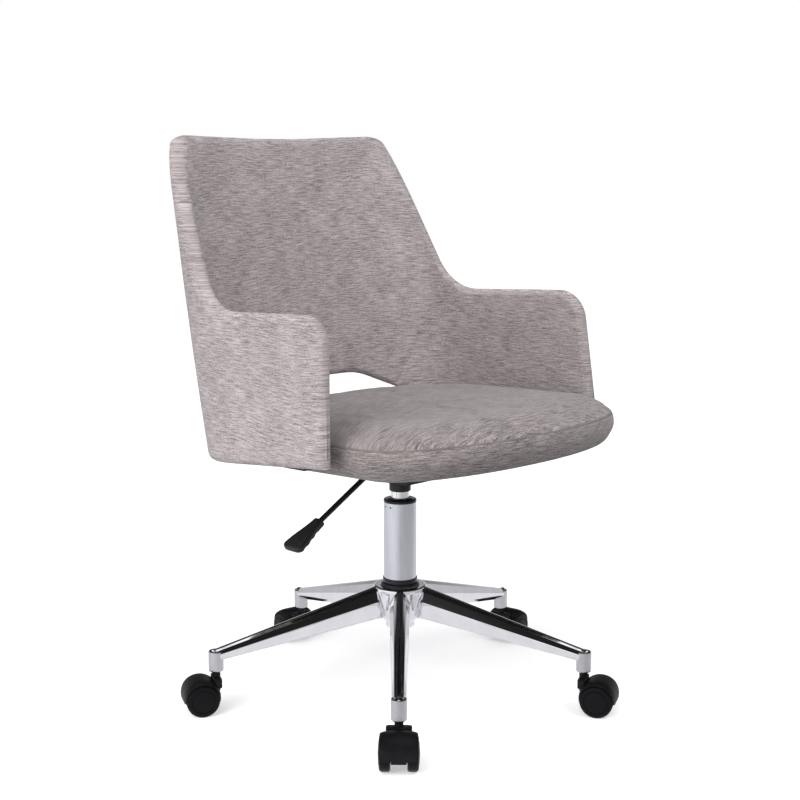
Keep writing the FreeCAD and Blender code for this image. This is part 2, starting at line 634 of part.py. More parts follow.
def opening_cutter(growth):
    """The arched cut-out at the foot of the back, grown by a margin on every side."""
    top = OPENING_TOP_Z + growth
    low = OPENING_BOTTOM_Z - growth
    crown = OPENING_CROWN_HALF + growth / 2.0
    wide = OPENING_HALF + growth
    foot = OPENING_FOOT_HALF + growth
    points = [V(-foot, 0, low), V(-wide, 0, OPENING_SHOULDER_Z), V(-crown, 0, top),
              V(crown, 0, top), V(wide, 0, OPENING_SHOULDER_Z), V(foot, 0, low)]
    corner = OPENING_CORNER_R
    radii = [corner, corner, OPENING_CROWN_R, OPENING_CROWN_R, corner, corner]
    return prism(points, radii, V(0, REACH, 0))


def shell_side_x(offset, y, z):
    """How far the shell's side face stands from the middle, beside the straight arms."""
    start = between(SHELL_BACK_Y, z) - between(SHELL_CORNER_DEPTH, z)
    return between(SHELL_HALF_WIDTH, z) - offset - SHELL_SPLAY * (y - start + offset / 2.0)


def on_seat(y, w):
    """The world y and z of a point in the seat's tilted frame."""
    tilt = math.radians(SEAT_TILT_DEG)
    return y * math.cos(tilt) + w * math.sin(tilt), SEAT_Z + w * math.cos(tilt) - y * math.sin(tilt)


# ---- Cushion, board and dust cover, in the seat's level frame ----

def seat_outline(inset, low, high):
    """The seat's plan: the shell's superellipse behind and a flatter one in front, as a prism."""
    top_z = SEAT_Z + CUSHION_HEIGHT
    half = between(SHELL_HALF_WIDTH, top_z) - SHELL_THICKNESS - CUSHION_SIDE_GAP - inset
    rear_low_y, rear_low_z = on_seat(SHELL_BACK_Y[0] - SHELL_THICKNESS, BRACKET_REAR_BOLT_W)
    shift = SHELL_BACK_Y[0] - SHELL_THICKNESS - rear_low_y
    back = between(SHELL_BACK_Y, rear_low_z) - SHELL_THICKNESS - CUSHION_BACK_GAP + shift - inset
    depth = SHELL_CORNER_DEPTH[0] - SHELL_THICKNESS / 2.0 - inset / 2.0
    rear = plan_points(half, back, depth, SHELL_EXPONENT[0], PLAN_STEPS)
    front_start = CUSHION_FRONT_Y + CUSHION_FRONT_DEPTH
    front_half = CUSHION_FRONT_HALF_WIDTH - inset
    reach = CUSHION_FRONT_DEPTH - inset
    front = []
    for i in range(2 * PLAN_STEPS + 1):
        angle = math.pi * (1.0 + i / (2.0 * PLAN_STEPS))
        c = math.cos(angle)
        x = math.copysign(abs(c) ** (2.0 / CUSHION_FRONT_EXPONENT), c) * front_half
        front.append(V(x, front_start - reach * abs(math.sin(angle)) ** (2.0 / CUSHION_FRONT_EXPONENT), 0))
    curves = []
    for points in (rear, front):
        curve = Part.BSplineCurve()
        curve.interpolate([p.add(V(0, 0, low)) for p in points])
        curves.append(curve.toShape())
    starts = [c.valueAt(c.FirstParameter) for c in curves]
    ends = [c.valueAt(c.LastParameter) for c in curves]
    left = Part.makeLine(ends[0], starts[1])
    right = Part.makeLine(ends[1], starts[0])
    return Part.Face(Part.Wire([curves[0], left, curves[1], right])).extrude(V(0, 0, high - low))


BOARD_TOP = DUST_THICKNESS + BOARD_THICKNESS


def bolt_places():
    """The four places where the seat plate is bolted to the board."""
    return [(sx * BOLT_X, sy * BOLT_Y) for sx in (-1, 1) for sy in (-1, 1)]


def seat_cushion():
    """The foam and its cover, with a pocket below for the board, the dust cover and the nuts."""
    pad = seat_outline(0, 0, CUSHION_HEIGHT)
    upper = [e for e in pad.Edges if e.BoundBox.ZMin > CUSHION_HEIGHT - 0.1]
    pad = pad.makeFillet(CUSHION_TOP_R, upper)
    lower = [e for e in pad.Edges if e.BoundBox.ZMax < 0.1]
    pad = pad.makeFillet(CUSHION_FOOT_R, lower)
    board_top = BOARD_TOP
    pad = pad.cut(seat_outline(BOARD_INSET - RUN, -CUT, board_top + RUN))
    for x, y in bolt_places():
        pad = pad.cut(tube(NUT_FLANGE_R + SEAT, 0, board_top - CUT, board_top + NUT_FLANGE + SEAT, x, y))
    for side in (-1, 1):
        pad = pad.cut(side_foot(side, SEAT, SCREW_HEAD + SEAT))
    return pad


def seat_board(screws):
    """The plywood board, drilled for the nuts and the bracket screws."""
    board = seat_outline(BOARD_INSET, DUST_THICKNESS, BOARD_TOP)
    for x, y in bolt_places():
        board = board.cut(tube(NUT_BARREL_R + RUN, 0, -CUT, BOARD_TOP + CUT, x, y))
    for x, y, seat_w, up in screws:
        low, high = sorted((seat_w + up * CUT, seat_w - up * (SCREW_DEPTH + RUN)))
        board = board.cut(tube(SCREW_R, 0, low, high, x, y))
    return board


def dust_cover(screws):
    """The thin black cloth under the board, holed where bolts and screws pass."""
    cloth = seat_outline(BOARD_INSET + DUST_INSET, 0, DUST_THICKNESS)
    for x, y in bolt_places():
        cloth = cloth.cut(tube(NUT_BARREL_R + SEAT, 0, -CUT, DUST_THICKNESS + CUT, x, y))
    for x, y, seat_w, up in screws:
        if up < 0:
            cloth = cloth.cut(tube(SCREW_R + SEAT, 0, -CUT, DUST_THICKNESS + CUT, x, y))
    return cloth


def plate_bolts():
    """Bolts from below, their washers, and the nuts let into the board."""
    bolts = []
    washers = []
    nuts = []
    board_top = BOARD_TOP
    for x, y in bolt_places():
        head = tube(BOLT_HEAD_R, 0, -STEEL - WASHER - BOLT_HEAD, -STEEL - WASHER, x, y)
        shank = tube(BOLT_R, 0, -STEEL - WASHER - CUT, board_top - 1.0, x, y)
        socket = tube(BOLT_HEAD_R / 2, 0, -STEEL - WASHER - BOLT_HEAD - CUT, -STEEL - WASHER - 2.0, x, y)
        bolts.append(head.fuse(shank).removeSplitter().cut(socket))
        washers.append(tube(WASHER_R, BOLT_R + RUN, -STEEL - WASHER, -STEEL, x, y))
        barrel = tube(NUT_BARREL_R, BOLT_R + RUN, board_top - NUT_BARREL, board_top + RUN, x, y)
        flange = tube(NUT_FLANGE_R, BOLT_R + RUN, board_top, board_top + NUT_FLANGE, x, y)
        nuts.append(barrel.fuse(flange).removeSplitter())
    return bolts, washers, nuts


# ---- Seat plate and lever ----

LEVER_Z = PIN_TOP_Z + SEAT + LEVER_ROD_R


def seat_plate():
    """The pressed plate, the mechanism housing under it and the two ears for the lever's pin."""
    corners = [V(sx * PLATE_HALF_X, sy * PLATE_HALF_Y, -STEEL)
               for sx, sy in ((-1, -1), (1, -1), (1, 1), (-1, 1))]
    plate = prism(corners, [PLATE_CORNER_R] * 4, V(0, 0, STEEL))
    for x, y in bolt_places():
        plate = plate.cut(tube(BOLT_R + SEAT, 0, -STEEL - CUT, CUT, x, y))
    box = block((-HOUSING_HALF_X, -HOUSING_HALF_Y, -HOUSING_DEPTH), (HOUSING_HALF_X, HOUSING_HALF_Y, -STEEL))
    hollow = block((-HOUSING_HALF_X + HOUSING_WALL, -HOUSING_HALF_Y + HOUSING_WALL,
                    -HOUSING_DEPTH + HOUSING_WALL),
                   (HOUSING_HALF_X - HOUSING_WALL, HOUSING_HALF_Y - HOUSING_WALL, -STEEL))
    body = tilted(plate.fuse(box.cut(hollow)).removeSplitter())
    ear_low = LEVER_Z - LUG_HALF_X
    roof = tilted(block((-PLATE_HALF_X, -PLATE_HALF_Y, -STEEL), (PLATE_HALF_X, PLATE_HALF_Y, 4 * STEEL)))
    for side in (-1, 1):
        y = side * (LEVER_BOSS_HALF + SEAT + LUG_THICKNESS / 2)
        ear = block((LEVER_PIVOT_X - LUG_HALF_X, y - LUG_THICKNESS / 2, ear_low),
                    (LEVER_PIVOT_X + LUG_HALF_X, y + LUG_THICKNESS / 2, SEAT_Z))
        body = body.fuse(ear.cut(roof))
    pin = Part.makeCylinder(PIVOT_PIN_R, 60, V(LEVER_PIVOT_X, -30, LEVER_Z), V(0, 1, 0))
    slot = block((-HOUSING_HALF_X - CUT, -SLOT_HALF_Y, LEVER_Z - SLOT_HALF_Z),
                 (-HOUSING_HALF_X + HOUSING_WALL + CUT, SLOT_HALF_Y, LEVER_Z + LEVER_ROD_R + 2.5))
    hole = tube(SOCKET_TUBE_R, 0, SOCKET_TUBE_BOTTOM_Z, SOCKET_TUBE_TOP_Z)
    return body.removeSplitter().cut(pin).cut(slot).cut(hole)


def taper_socket():
    """The socket welded into the housing's floor that grips the pressure tube's tapered top."""
    bore = turned([(0, SOCKET_TUBE_BOTTOM_Z - CUT), (TUBE_R + RUN, SOCKET_TUBE_BOTTOM_Z - CUT),
                   (TUBE_R + RUN, TUBE_TAPER_Z), (TUBE_TOP_R + RUN, TUBE_TOP_Z),
                   (TUBE_TOP_R + RUN, SOCKET_TUBE_TOP_Z + CUT), (0, SOCKET_TUBE_TOP_Z + CUT)])
    return tube(SOCKET_TUBE_R, 0, SOCKET_TUBE_BOTTOM_Z, SOCKET_TUBE_TOP_Z).cut(bore)


def lever_path():
    """The rod's centre line: level over the pin, then down at a slant into the paddle."""
    corner = V(LEVER_BEND_X, 0, LEVER_Z)
    ends = [V(LEVER_INNER_X, 0, LEVER_Z), V(LEVER_END_X, 0, LEVER_END_Z)]
    toward = [end.sub(corner).normalize() for end in ends]
    half = toward[0].getAngle(toward[1]) / 2.0
    setback = LEVER_BEND_R / math.tan(half)
    enter, leave = [corner.add(V(t) * setback) for t in toward]
    inward = V(toward[0]).add(toward[1]).normalize()
    middle = corner.add(inward * (LEVER_BEND_R / math.sin(half) - LEVER_BEND_R))
    return Part.Wire([Part.makeLine(ends[0], enter), Part.Arc(enter, middle, leave).toShape(),
                      Part.makeLine(leave, ends[1])])


def lever_sweep(radius):
    """The rod's path swept with a circle."""
    path = lever_path()
    circle = Part.Wire(Part.makeCircle(radius, V(LEVER_INNER_X, 0, LEVER_Z), V(-1, 0, 0)))
    return path.makePipeShell([circle], True, False)


def lever_rod():
    """The bent steel rod, with the cross tube that turns on the pivot pin."""
    boss = Part.makeCylinder(LEVER_BOSS_R, 2 * LEVER_BOSS_HALF,
                             V(LEVER_PIVOT_X, -LEVER_BOSS_HALF, LEVER_Z), V(0, 1, 0))
    bore = Part.makeCylinder(PIVOT_PIN_R + RUN, 4 * LEVER_BOSS_HALF,
                             V(LEVER_PIVOT_X, -2 * LEVER_BOSS_HALF, LEVER_Z), V(0, 1, 0))
    return lever_sweep(LEVER_ROD_R).fuse(boss).removeSplitter().cut(bore)


def lever_paddle():
    """The moulded finger paddle, wider at its end, with a shallow dished top."""
    half_t = PADDLE_THICKNESS / 2
    plan = [V(0, -PADDLE_ROOT_HALF, -half_t), V(0, PADDLE_ROOT_HALF, -half_t),
            V(-PADDLE_LENGTH, PADDLE_END_HALF, -half_t), V(-PADDLE_LENGTH, -PADDLE_END_HALF, -half_t)]
    paddle = prism(plan, [2.0, 2.0, PADDLE_CORNER_R, PADDLE_CORNER_R], V(0, 0, PADDLE_THICKNESS))
    faces = [e for e in paddle.Edges if e.BoundBox.ZLength < 0.01]
    paddle = paddle.makeFillet(PADDLE_EDGE_R, faces)
    margin = PADDLE_RECESS_MARGIN
    dish_z = half_t - PADDLE_RECESS
    dish = [V(-3 * margin, -PADDLE_ROOT_HALF + 2, dish_z), V(-3 * margin, PADDLE_ROOT_HALF - 2, dish_z),
            V(-PADDLE_LENGTH + margin, PADDLE_END_HALF - margin, dish_z),
            V(-PADDLE_LENGTH + margin, -PADDLE_END_HALF + margin, dish_z)]
    paddle = paddle.cut(prism(dish, [2.0, 2.0, 5.0, 5.0], V(0, 0, 2 * PADDLE_RECESS)))
    slope = math.degrees(math.atan2(LEVER_Z - LEVER_END_Z, LEVER_BEND_X - LEVER_END_X))
    paddle.rotate(V(0, 0, 0), V(0, 1, 0), -slope)
    paddle.translate(V(PADDLE_X0, 0, LEVER_Z + (PADDLE_X0 - LEVER_BEND_X) * math.tan(math.radians(slope))))
    return paddle.cut(lever_sweep(LEVER_ROD_R + 0.02))


# ---- Brackets ----

BRACKET_OFFSET = OUTER_PAD + CORE + BRACKET_SLACK


def side_foot(side, growth, headroom):
    """The foot of one side bracket on top of the board, in the seat's level frame, with some room."""
    reach = shell_side_x(BRACKET_OFFSET + STEEL, BRACKET_Y, SEAT_Z)
    low, high = sorted((side * (reach - BRACKET_FOOT - growth), side * (reach + BRACKET_HALF)))
    return block((low, BRACKET_Y - BRACKET_HALF - growth, BOARD_TOP),
                 (high, BRACKET_Y + BRACKET_HALF + growth, BOARD_TOP + STEEL + headroom))


def leaf_window(side, growth, low):
    """The room that a bracket's leaf takes, in the seat's level frame; side is 0 for the rear one."""
    if not side:
        return block((-BRACKET_HALF - growth, BRACKET_REAR_SPAN[0], low),
                     (BRACKET_HALF + growth, BRACKET_REAR_SPAN[1], BRACKET_REAR_RISE + growth))
    near, far = sorted(side * x for x in BRACKET_SIDE_SPAN)
    return block((near, BRACKET_Y - BRACKET_HALF - growth, low),
                 (far, BRACKET_Y + BRACKET_HALF + growth, BRACKET_RISE + growth))


def bracket(side):
    """One angle bracket: a leaf that follows the shell's inner wall and a foot under the board.

    side is -1 or 1 for the arms and 0 for the back.
    """
    leaf = shell_fill(BRACKET_OFFSET).cut(shell_fill(BRACKET_OFFSET + STEEL))
    if side:
        window = leaf_window(side, 0, BOARD_TOP)
        foot = side_foot(side, 0, 0)
    else:
        reach = between(SHELL_BACK_Y, SEAT_Z) - BRACKET_OFFSET - STEEL
        window = leaf_window(0, 0, -STEEL)
        foot = block((-BRACKET_HALF, reach - BRACKET_FOOT, -STEEL), (BRACKET_HALF, BRACKET_REAR_SPAN[1], 0))
    inside = shell_fill(BRACKET_OFFSET + STEEL / 2.0)
    leaf = leaf.common(tilted(window))
    return leaf.fuse(tilted(foot).common(inside)).removeSplitter()


def bracket_screws():
    """Plan places of the wood screws, the board face that each enters and the side its head is on."""
    places = []
    side_x = shell_side_x(BRACKET_OFFSET + STEEL, BRACKET_Y, SEAT_Z) - BRACKET_FOOT + SCREW_STEP / 2
    rear_y = between(SHELL_BACK_Y, SEAT_Z) - BRACKET_OFFSET - STEEL - BRACKET_FOOT + SCREW_STEP / 2
    for step in (-0.5, 0.5):
        for side in (-1, 1):
            places.append((side * side_x, BRACKET_Y + step * BRACKET_BOLT_PITCH, BOARD_TOP, 1))
        places.append((step * BRACKET_BOLT_PITCH, rear_y, 0.0, -1))
    return places


def bracket_bolt_frames():
    """Place and outward direction of each bolt through a bracket's leaf, on the leaf's inner face."""
    frames = []
    offset = BRACKET_OFFSET + STEEL
    rise = SHELL_HIGH_Z - SHELL_LOW_Z
    lean = (SHELL_HALF_WIDTH[0] - SHELL_HALF_WIDTH[1]) / rise
    creep = (SHELL_BACK_Y[1] - SHELL_BACK_Y[0] + SHELL_CORNER_DEPTH[0] - SHELL_CORNER_DEPTH[1]) / rise
    for step in (-0.5, 0.5):
        y, z = on_seat(BRACKET_Y + step * BRACKET_BOLT_PITCH, BRACKET_BOLT_W)
        for side in (-1, 1):
            frames.append((V(side * shell_side_x(offset, y, z), y, z),
                           V(side, SHELL_SPLAY, lean - SHELL_SPLAY * creep)))
        y, z = on_seat(between(SHELL_BACK_Y, SHELL_LOW_Z) - offset, BRACKET_REAR_BOLT_W)
        frames.append((V(step * BRACKET_BOLT_PITCH, between(SHELL_BACK_Y, z) - offset, z),
                       V(0, 1, -(SHELL_BACK_Y[1] - SHELL_BACK_Y[0]) / rise)))
    return frames


def rod_along(place, direction, radius, start, end):
    """A cylinder on an axis, from one distance along it to another."""
    unit = V(direction).normalize()
    return Part.makeCylinder(radius, end - start, place.add(V(unit) * start), unit)


def main():
    os.makedirs("parts", exist_ok=True)

    hub_envelope, hub = base_hub()
    save("base_hub", hub)
    arm = base_arm(hub_envelope)
    for i in range(CASTER_COUNT):
        save("base_arm_%d" % (i + 1), around(arm, i))
    save("caster_sockets", [around(caster_socket(), i) for i in range(CASTER_COUNT)])
    save("caster_stems", [around(caster_stem(), i) for i in range(CASTER_COUNT)])
    save("stem_grip_rings", [around(grip_ring(), i) for i in range(CASTER_COUNT)])
    hood = caster_hood()
    axle = across(AXLE_R - RUN / 2, WHEEL_GAP / 2 + AXLE_BITE)
    for i in range(CASTER_COUNT):
        save("caster_hood_%d" % (i + 1), around(hood, i))
        save("caster_axle_%d" % (i + 1), around(axle, i))
        save("caster_wheel_%d_a" % (i + 1), around(caster_wheel(1), i))
        save("caster_wheel_%d_b" % (i + 1), around(caster_wheel(-1), i))

    save("column_tube", column_tube())
    save("column_collar", tube(COLLAR_R, COLUMN_R + RUN, COLLAR_BOTTOM_Z, COLLAR_TOP_Z))
    save("column_guide_bush", guide_bush())
    save("column_foot_plate", tube(COLUMN_BORE_R - RUN, ROD_FOOT_R + PLATE_HOLE_GAP, PLATE_Z, RACE_Z))
    lower, cage, balls, upper = bearing_parts()
    save("bearing_lower_race", lower)
    save("bearing_cage", cage)
    save("bearing_balls", balls)
    save("bearing_upper_race", upper)
    save("lift_bumper", tube(BUMPER_R, ROD_R + RUN, SHOULDER_Z + RUN, TUBE_BOTTOM_Z - SEAT))
    save("piston_rod", piston_rod())
    save("rod_clip", rod_clip())
    save("pressure_tube", pressure_tube())
    save("rod_seal", rod_seal())
    save("valve_body", valve_body())
    save("release_pin", release_pin())

    save("seat_plate", seat_plate())
    save("taper_socket", taper_socket())
    save("lever_pivot_pin", Part.makeCylinder(PIVOT_PIN_R, 2 * PIVOT_PIN_HALF,
                                              V(LEVER_PIVOT_X, -PIVOT_PIN_HALF, LEVER_Z), V(0, 1, 0)))
    save("lever_rod", lever_rod())
    save("lever_paddle", lever_paddle())

    screws = bracket_screws()
    save("seat_cushion", tilted(seat_cushion()))
    save("seat_board", tilted(seat_board(screws)))
    save("dust_cover", tilted(dust_cover(screws)))
    bolts, washers, nuts = plate_bolts()
    save("plate_washers", [tilted(w) for w in washers])

    outer = shell_fill(0)
    core_out = shell_fill(OUTER_PAD)
    core_in = shell_fill(OUTER_PAD + CORE)
    inside = shell_fill(SHELL_THICKNESS)
    outline = shell_outline(0)
    opening = opening_cutter(0)
    cover = outer.cut(core_out).common(outline).cut(opening)
    core_outline = shell_outline(CORE_INSET)
    core = core_out.cut(core_in).common(core_outline).cut(opening_cutter(CORE_INSET))
    lining = core_out.cut(inside).common(outline).cut(opening).cut(core)

    brackets = [bracket(side) for side in (-1, 1, 0)]
    recess_skin = shell_fill(OUTER_PAD + CORE).cut(inside)
    for side in (-1, 1):
        lining = lining.cut(recess_skin.common(tilted(leaf_window(side, SEAT, -HOUSING_DEPTH))))
    lining = lining.cut(recess_skin.common(tilted(leaf_window(0, SEAT, -STEEL))))

    shell_bolts = []
    shell_nuts = []
    for place, direction in bracket_bolt_frames():
        head = rod_along(place, direction, BUTTON_R, -BUTTON, -HEAD_GAP)
        shank = rod_along(place, direction, BOLT_R, -CUT, STEEL + BRACKET_SLACK + CORE)
        shell_bolts.append(head.fuse(shank).removeSplitter())
        hole = rod_along(place, direction, BOLT_R + RUN, -CUT, STEEL + 2 * CORE)
        core = core.cut(hole)
        brackets = [b.cut(hole) for b in brackets]
        back_face = STEEL + BRACKET_SLACK + CORE + NUT_GAP
        flange = rod_along(place, direction, SHELL_NUT_R, back_face, back_face + NUT_FLANGE)
        flange = flange.cut(rod_along(place, direction, BOLT_R, back_face - CUT, back_face + 2 * NUT_FLANGE))
        shell_nuts.append(flange)
        room = rod_along(place, direction, SHELL_NUT_R + RUN, back_face - CUT, back_face + NUT_FLANGE + RUN)
        cover = cover.cut(room)
    save("shell_outer_cover", cover)
    save("shell_core", core)
    save("shell_lining", lining)
    foot_screws = []
    for x, y, seat_w, up in screws:
        under_head = seat_w + up * STEEL
        tip = seat_w - up * SCREW_DEPTH
        hole = tube(SCREW_R + RUN, 0, min(tip, under_head) - CUT, max(tip, under_head) + CUT, x, y)
        brackets = [b.cut(tilted(hole)) for b in brackets]
        shank = tube(SCREW_R - RUN, 0, min(tip, under_head + up), max(tip, under_head + up), x, y)
        low, high = sorted((under_head, under_head + up * SCREW_HEAD))
        foot_screws.append(tilted(tube(SCREW_HEAD_R, 0, low, high, x, y).fuse(shank).removeSplitter()))
    save("shell_brackets", [b.Solids[0] for b in brackets])
    save("frame_bolts", [tilted(b) for b in bolts] + shell_bolts)
    save("t_nuts", [tilted(n) for n in nuts] + shell_nuts)
    save("bracket_screws", foot_screws)


main()
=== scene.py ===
# %% [markdown]
# # A swivel office chair
# The chair is an upholstered bucket shell on a gas lift and a chromed five-arm base. The design already
# holds every working piece in its true place; this file gives the chair its looks. Upholstery, castings and
# mouldings are drawn again as surfaces, hidden hardware keeps its designed shape, and everything gets a
# finish that is worked out by formula. All lengths are in metres, +Z is up and the sitter looks along -Y.

# %% Opening the design
import math

import bmesh
import bpy
import numpy as np
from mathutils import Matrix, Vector
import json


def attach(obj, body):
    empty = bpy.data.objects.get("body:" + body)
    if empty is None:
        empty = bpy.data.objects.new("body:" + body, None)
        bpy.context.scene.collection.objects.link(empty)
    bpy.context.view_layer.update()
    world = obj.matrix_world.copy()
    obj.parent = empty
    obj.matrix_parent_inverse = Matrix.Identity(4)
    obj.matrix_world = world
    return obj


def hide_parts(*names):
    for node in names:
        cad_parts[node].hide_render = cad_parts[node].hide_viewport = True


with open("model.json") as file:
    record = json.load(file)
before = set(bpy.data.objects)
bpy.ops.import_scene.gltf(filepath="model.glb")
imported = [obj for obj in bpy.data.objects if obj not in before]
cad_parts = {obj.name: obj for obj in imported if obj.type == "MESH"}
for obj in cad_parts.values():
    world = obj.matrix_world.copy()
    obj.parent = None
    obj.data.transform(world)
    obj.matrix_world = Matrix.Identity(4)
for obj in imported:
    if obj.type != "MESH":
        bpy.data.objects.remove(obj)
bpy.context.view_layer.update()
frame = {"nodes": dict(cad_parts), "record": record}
nodes = frame["nodes"]
print("nodes in the design:", len(nodes))


# %% [markdown]
# ## Tools for surfaces
# Nearly every piece is a grid of points: rows along one direction, columns along the other. Joining each
# point with its neighbours gives quads. A closed form joins its last row or column with its first. Points
# that fall together, such as the pole of a turned piece, are merged afterwards, and the faces of a closed
# form are then turned to point outwards.

# %% Grid to mesh
def grid_quads(rows, columns, round_rows=False, round_columns=False):
    """Each quad joins a grid point with the next one along the row, along the column and across."""
    row, column = np.meshgrid(np.arange(rows if round_rows else rows - 1),
                              np.arange(columns if round_columns else columns - 1), indexing="ij")
    next_row = (row + 1) % rows
    next_column = (column + 1) % columns
    corners = [row * columns + column, row * columns + next_column,
               next_row * columns + next_column, next_row * columns + column]
    return np.stack(corners, -1).reshape(-1, 4)


def new_piece(name, points, faces, uv=None, marks=None, merge=1e-6):
    """A smooth mesh object from points and faces, with its texture map, per-point marks and outward faces."""
    mesh = bpy.data.meshes.new(name)
    mesh.from_pydata(np.asarray(points, float).reshape(-1, 3).tolist(), [], [list(f) for f in faces])
    if uv is not None:
        corner_points = np.zeros(len(mesh.loops), np.int32)
        mesh.loops.foreach_get("vertex_index", corner_points)
        layer = mesh.uv_layers.new(name="weave")
        layer.data.foreach_set("uv", np.asarray(uv, np.float32).reshape(-1, 2)[corner_points].ravel())
    for mark, values in (marks or {}).items():
        layer = mesh.attributes.new(mark, "FLOAT", "POINT")
        layer.data.foreach_set("value", np.asarray(values, np.float32).ravel())
    work = bmesh.new()
    work.from_mesh(mesh)
    bmesh.ops.remove_doubles(work, verts=work.verts, dist=merge)
    bmesh.ops.recalc_face_normals(work, faces=work.faces)
    work.to_mesh(mesh)
    work.free()
    mesh.polygons.foreach_set("use_smooth", np.ones(len(mesh.polygons), bool))
    piece = bpy.data.objects.new(name, mesh)
    bpy.context.scene.collection.objects.link(piece)
    return piece


def stack(parts):
    """Several (points, faces) pairs as one, each part's faces numbered after the points before it."""
    points, faces, count = [], [], 0
    for part_points, part_faces in parts:
        flat = np.asarray(part_points, float).reshape(-1, 3)
        points.append(flat)
        faces += [[i + count for i in face] for face in np.asarray(part_faces).tolist()]
        count += len(flat)
    return np.concatenate(points), faces


# %% Rounded profiles and turned forms
def rounded_line(corners, radii, step=5.0, count=None):
    """An open line with each corner replaced by an arc that touches both of its sides."""
    corners = np.asarray(corners, float)
    line = [corners[0]]
    for before, corner, after, radius in zip(corners, corners[1:], corners[2:], radii[1:]):
        inward = (before - corner) / np.linalg.norm(before - corner)
        onward = (after - corner) / np.linalg.norm(after - corner)
        turn = math.pi - math.acos(np.clip(inward @ onward, -1, 1))
        if radius <= 0 or turn < 0.01:
            line.append(corner)
            continue
        reach = radius * math.tan(turn / 2)
        centre = corner + (inward + onward) / np.linalg.norm(inward + onward) * radius / math.cos(turn / 2)
        start, end = corner + inward * reach - centre, corner + onward * reach - centre
        share = np.linspace(0, 1, count or max(3, int(math.degrees(turn) / step) + 1))[:, None]
        arc = (np.sin((1 - share) * turn) * start + np.sin(share * turn) * end) / math.sin(turn)
        line += list(centre + arc)
    line.append(corners[-1])
    return np.array(line)


def turned(profile, segments=96):
    """A closed profile of (radius, height) carried round the vertical axis."""
    profile = np.asarray(profile, float)
    angle = np.linspace(0, 2 * math.pi, segments, endpoint=False)[:, None]
    radius, height = profile[:, 0], profile[:, 1]
    points = np.stack([radius * np.cos(angle), radius * np.sin(angle), height + 0 * angle], -1)
    return points, grid_quads(segments, len(profile), True, True)


def turned_about(points, degrees):
    """Points turned about the vertical axis through the origin."""
    c, s = math.cos(math.radians(degrees)), math.sin(math.radians(degrees))
    return np.asarray(points) @ np.array([[c, s, 0], [-s, c, 0], [0, 0, 1]])


def smooth_step(x):
    """0 below 0, 1 above 1, and an even slope between."""
    x = np.clip(x, 0, 1)
    return x * x * (3 - 2 * x)


# %% [markdown]
# ## Tools for finishes
# A finish is a small formula over the surface. A socket of a shader can be wrapped so that plus, minus and
# times add the Math nodes by themselves, and one method makes every other node, its settings first and its
# sockets after.

# %% Shader arithmetic
class Value:
    """A shader socket that can be added, subtracted and multiplied like a number."""

    def __init__(self, finish, socket):
        self.finish = finish
        self.socket = socket

    def math(self, operation, *others):
        inputs = {0: self, **dict(enumerate(others, 1))}
        return self.finish.node("ShaderNodeMath", {"operation": operation}, inputs)

    def __add__(self, other):
        return self.math("ADD", other)

    def __sub__(self, other):
        return self.math("SUBTRACT", other)

    def __mul__(self, other):
        return self.math("MULTIPLY", other)


class Finish:
    """A material under construction, with one method for every node."""

    def __init__(self, name, rough=0.5, metal=0.0, **constants):
        self.material = bpy.data.materials.new(name)
        self.material.use_nodes = True
        self.tree = self.material.node_tree
        self.surface = self.tree.nodes["Principled BSDF"]
        self.surface.inputs["Roughness"].default_value = rough
        self.surface.inputs["Metallic"].default_value = metal
        for socket, value in constants.items():
            self.surface.inputs[socket.replace("_", " ")].default_value = value

    def node(self, kind, settings=None, inputs=None, out=0):
        made = self.tree.nodes.new(kind)
        for key, value in (settings or {}).items():
            setattr(made, key, value)
        for key, value in (inputs or {}).items():
            if isinstance(value, Value):
                self.tree.links.new(value.socket, made.inputs[key])
            else:
                made.inputs[key].default_value = value
        return Value(self, made.outputs[out])

    def place(self, stretch=(1, 1, 1), uv=False):
        """Object coordinates, or the cloth map, stretched along each axis."""
        if uv:
            source = self.node("ShaderNodeUVMap", {"uv_map": "weave"})
        else:
            source = self.node("ShaderNodeTexCoord", out="Object")
        return self.node("ShaderNodeVectorMath", {"operation": "MULTIPLY"}, {0: source, 1: stretch})

    def noise(self, where, scale, detail=2.0, rough=0.5):
        return self.node("ShaderNodeTexNoise", {}, {"Vector": where, "Scale": scale, "Detail": detail,
                                                     "Roughness": rough})

    def wave(self, where, scale, direction="X"):
        return self.node("ShaderNodeTexWave", {"bands_direction": direction},
                         {"Vector": where, "Scale": scale, "Distortion": 0.0})

    def spread(self, value, low, high, to_low=0.0, to_high=1.0):
        limits = {"From Min": low, "From Max": high, "To Min": to_low, "To Max": to_high}
        return self.node("ShaderNodeMapRange", {"interpolation_type": "SMOOTHSTEP"}, {"Value": value, **limits})

    def mix(self, share, first, second):
        """A colour between two colours."""
        inputs = {0: share, 6: (*first, 1), 7: (*second, 1)}
        return self.node("ShaderNodeMix", {"data_type": "RGBA"}, inputs, out=2)

    def grey(self, level):
        """A number as a grey."""
        return self.node("ShaderNodeCombineColor", {}, {"Red": level, "Green": level, "Blue": level})

    def darkened(self, colour, share):
        """A colour times a share from 0 to 1."""
        return self.node("ShaderNodeMix", {"data_type": "RGBA", "blend_type": "MULTIPLY"},
                         {0: 1.0, 6: colour, 7: self.grey(share)}, out=2)

    def mark(self, name):
        return self.node("ShaderNodeAttribute", {"attribute_name": name}, out="Fac")

    def paint(self, colour, rough, bump, height, strength=0.5):
        """Links colour, haze and relief, whose height is in metres, and returns the material."""
        normal = self.node("ShaderNodeBump", {}, {"Height": bump, "Strength": strength, "Distance": height})
        for value, socket in ((colour, "Base Color"), (rough, "Roughness"), (normal, "Normal")):
            self.tree.links.new(value.socket, self.surface.inputs[socket])
        return self.material


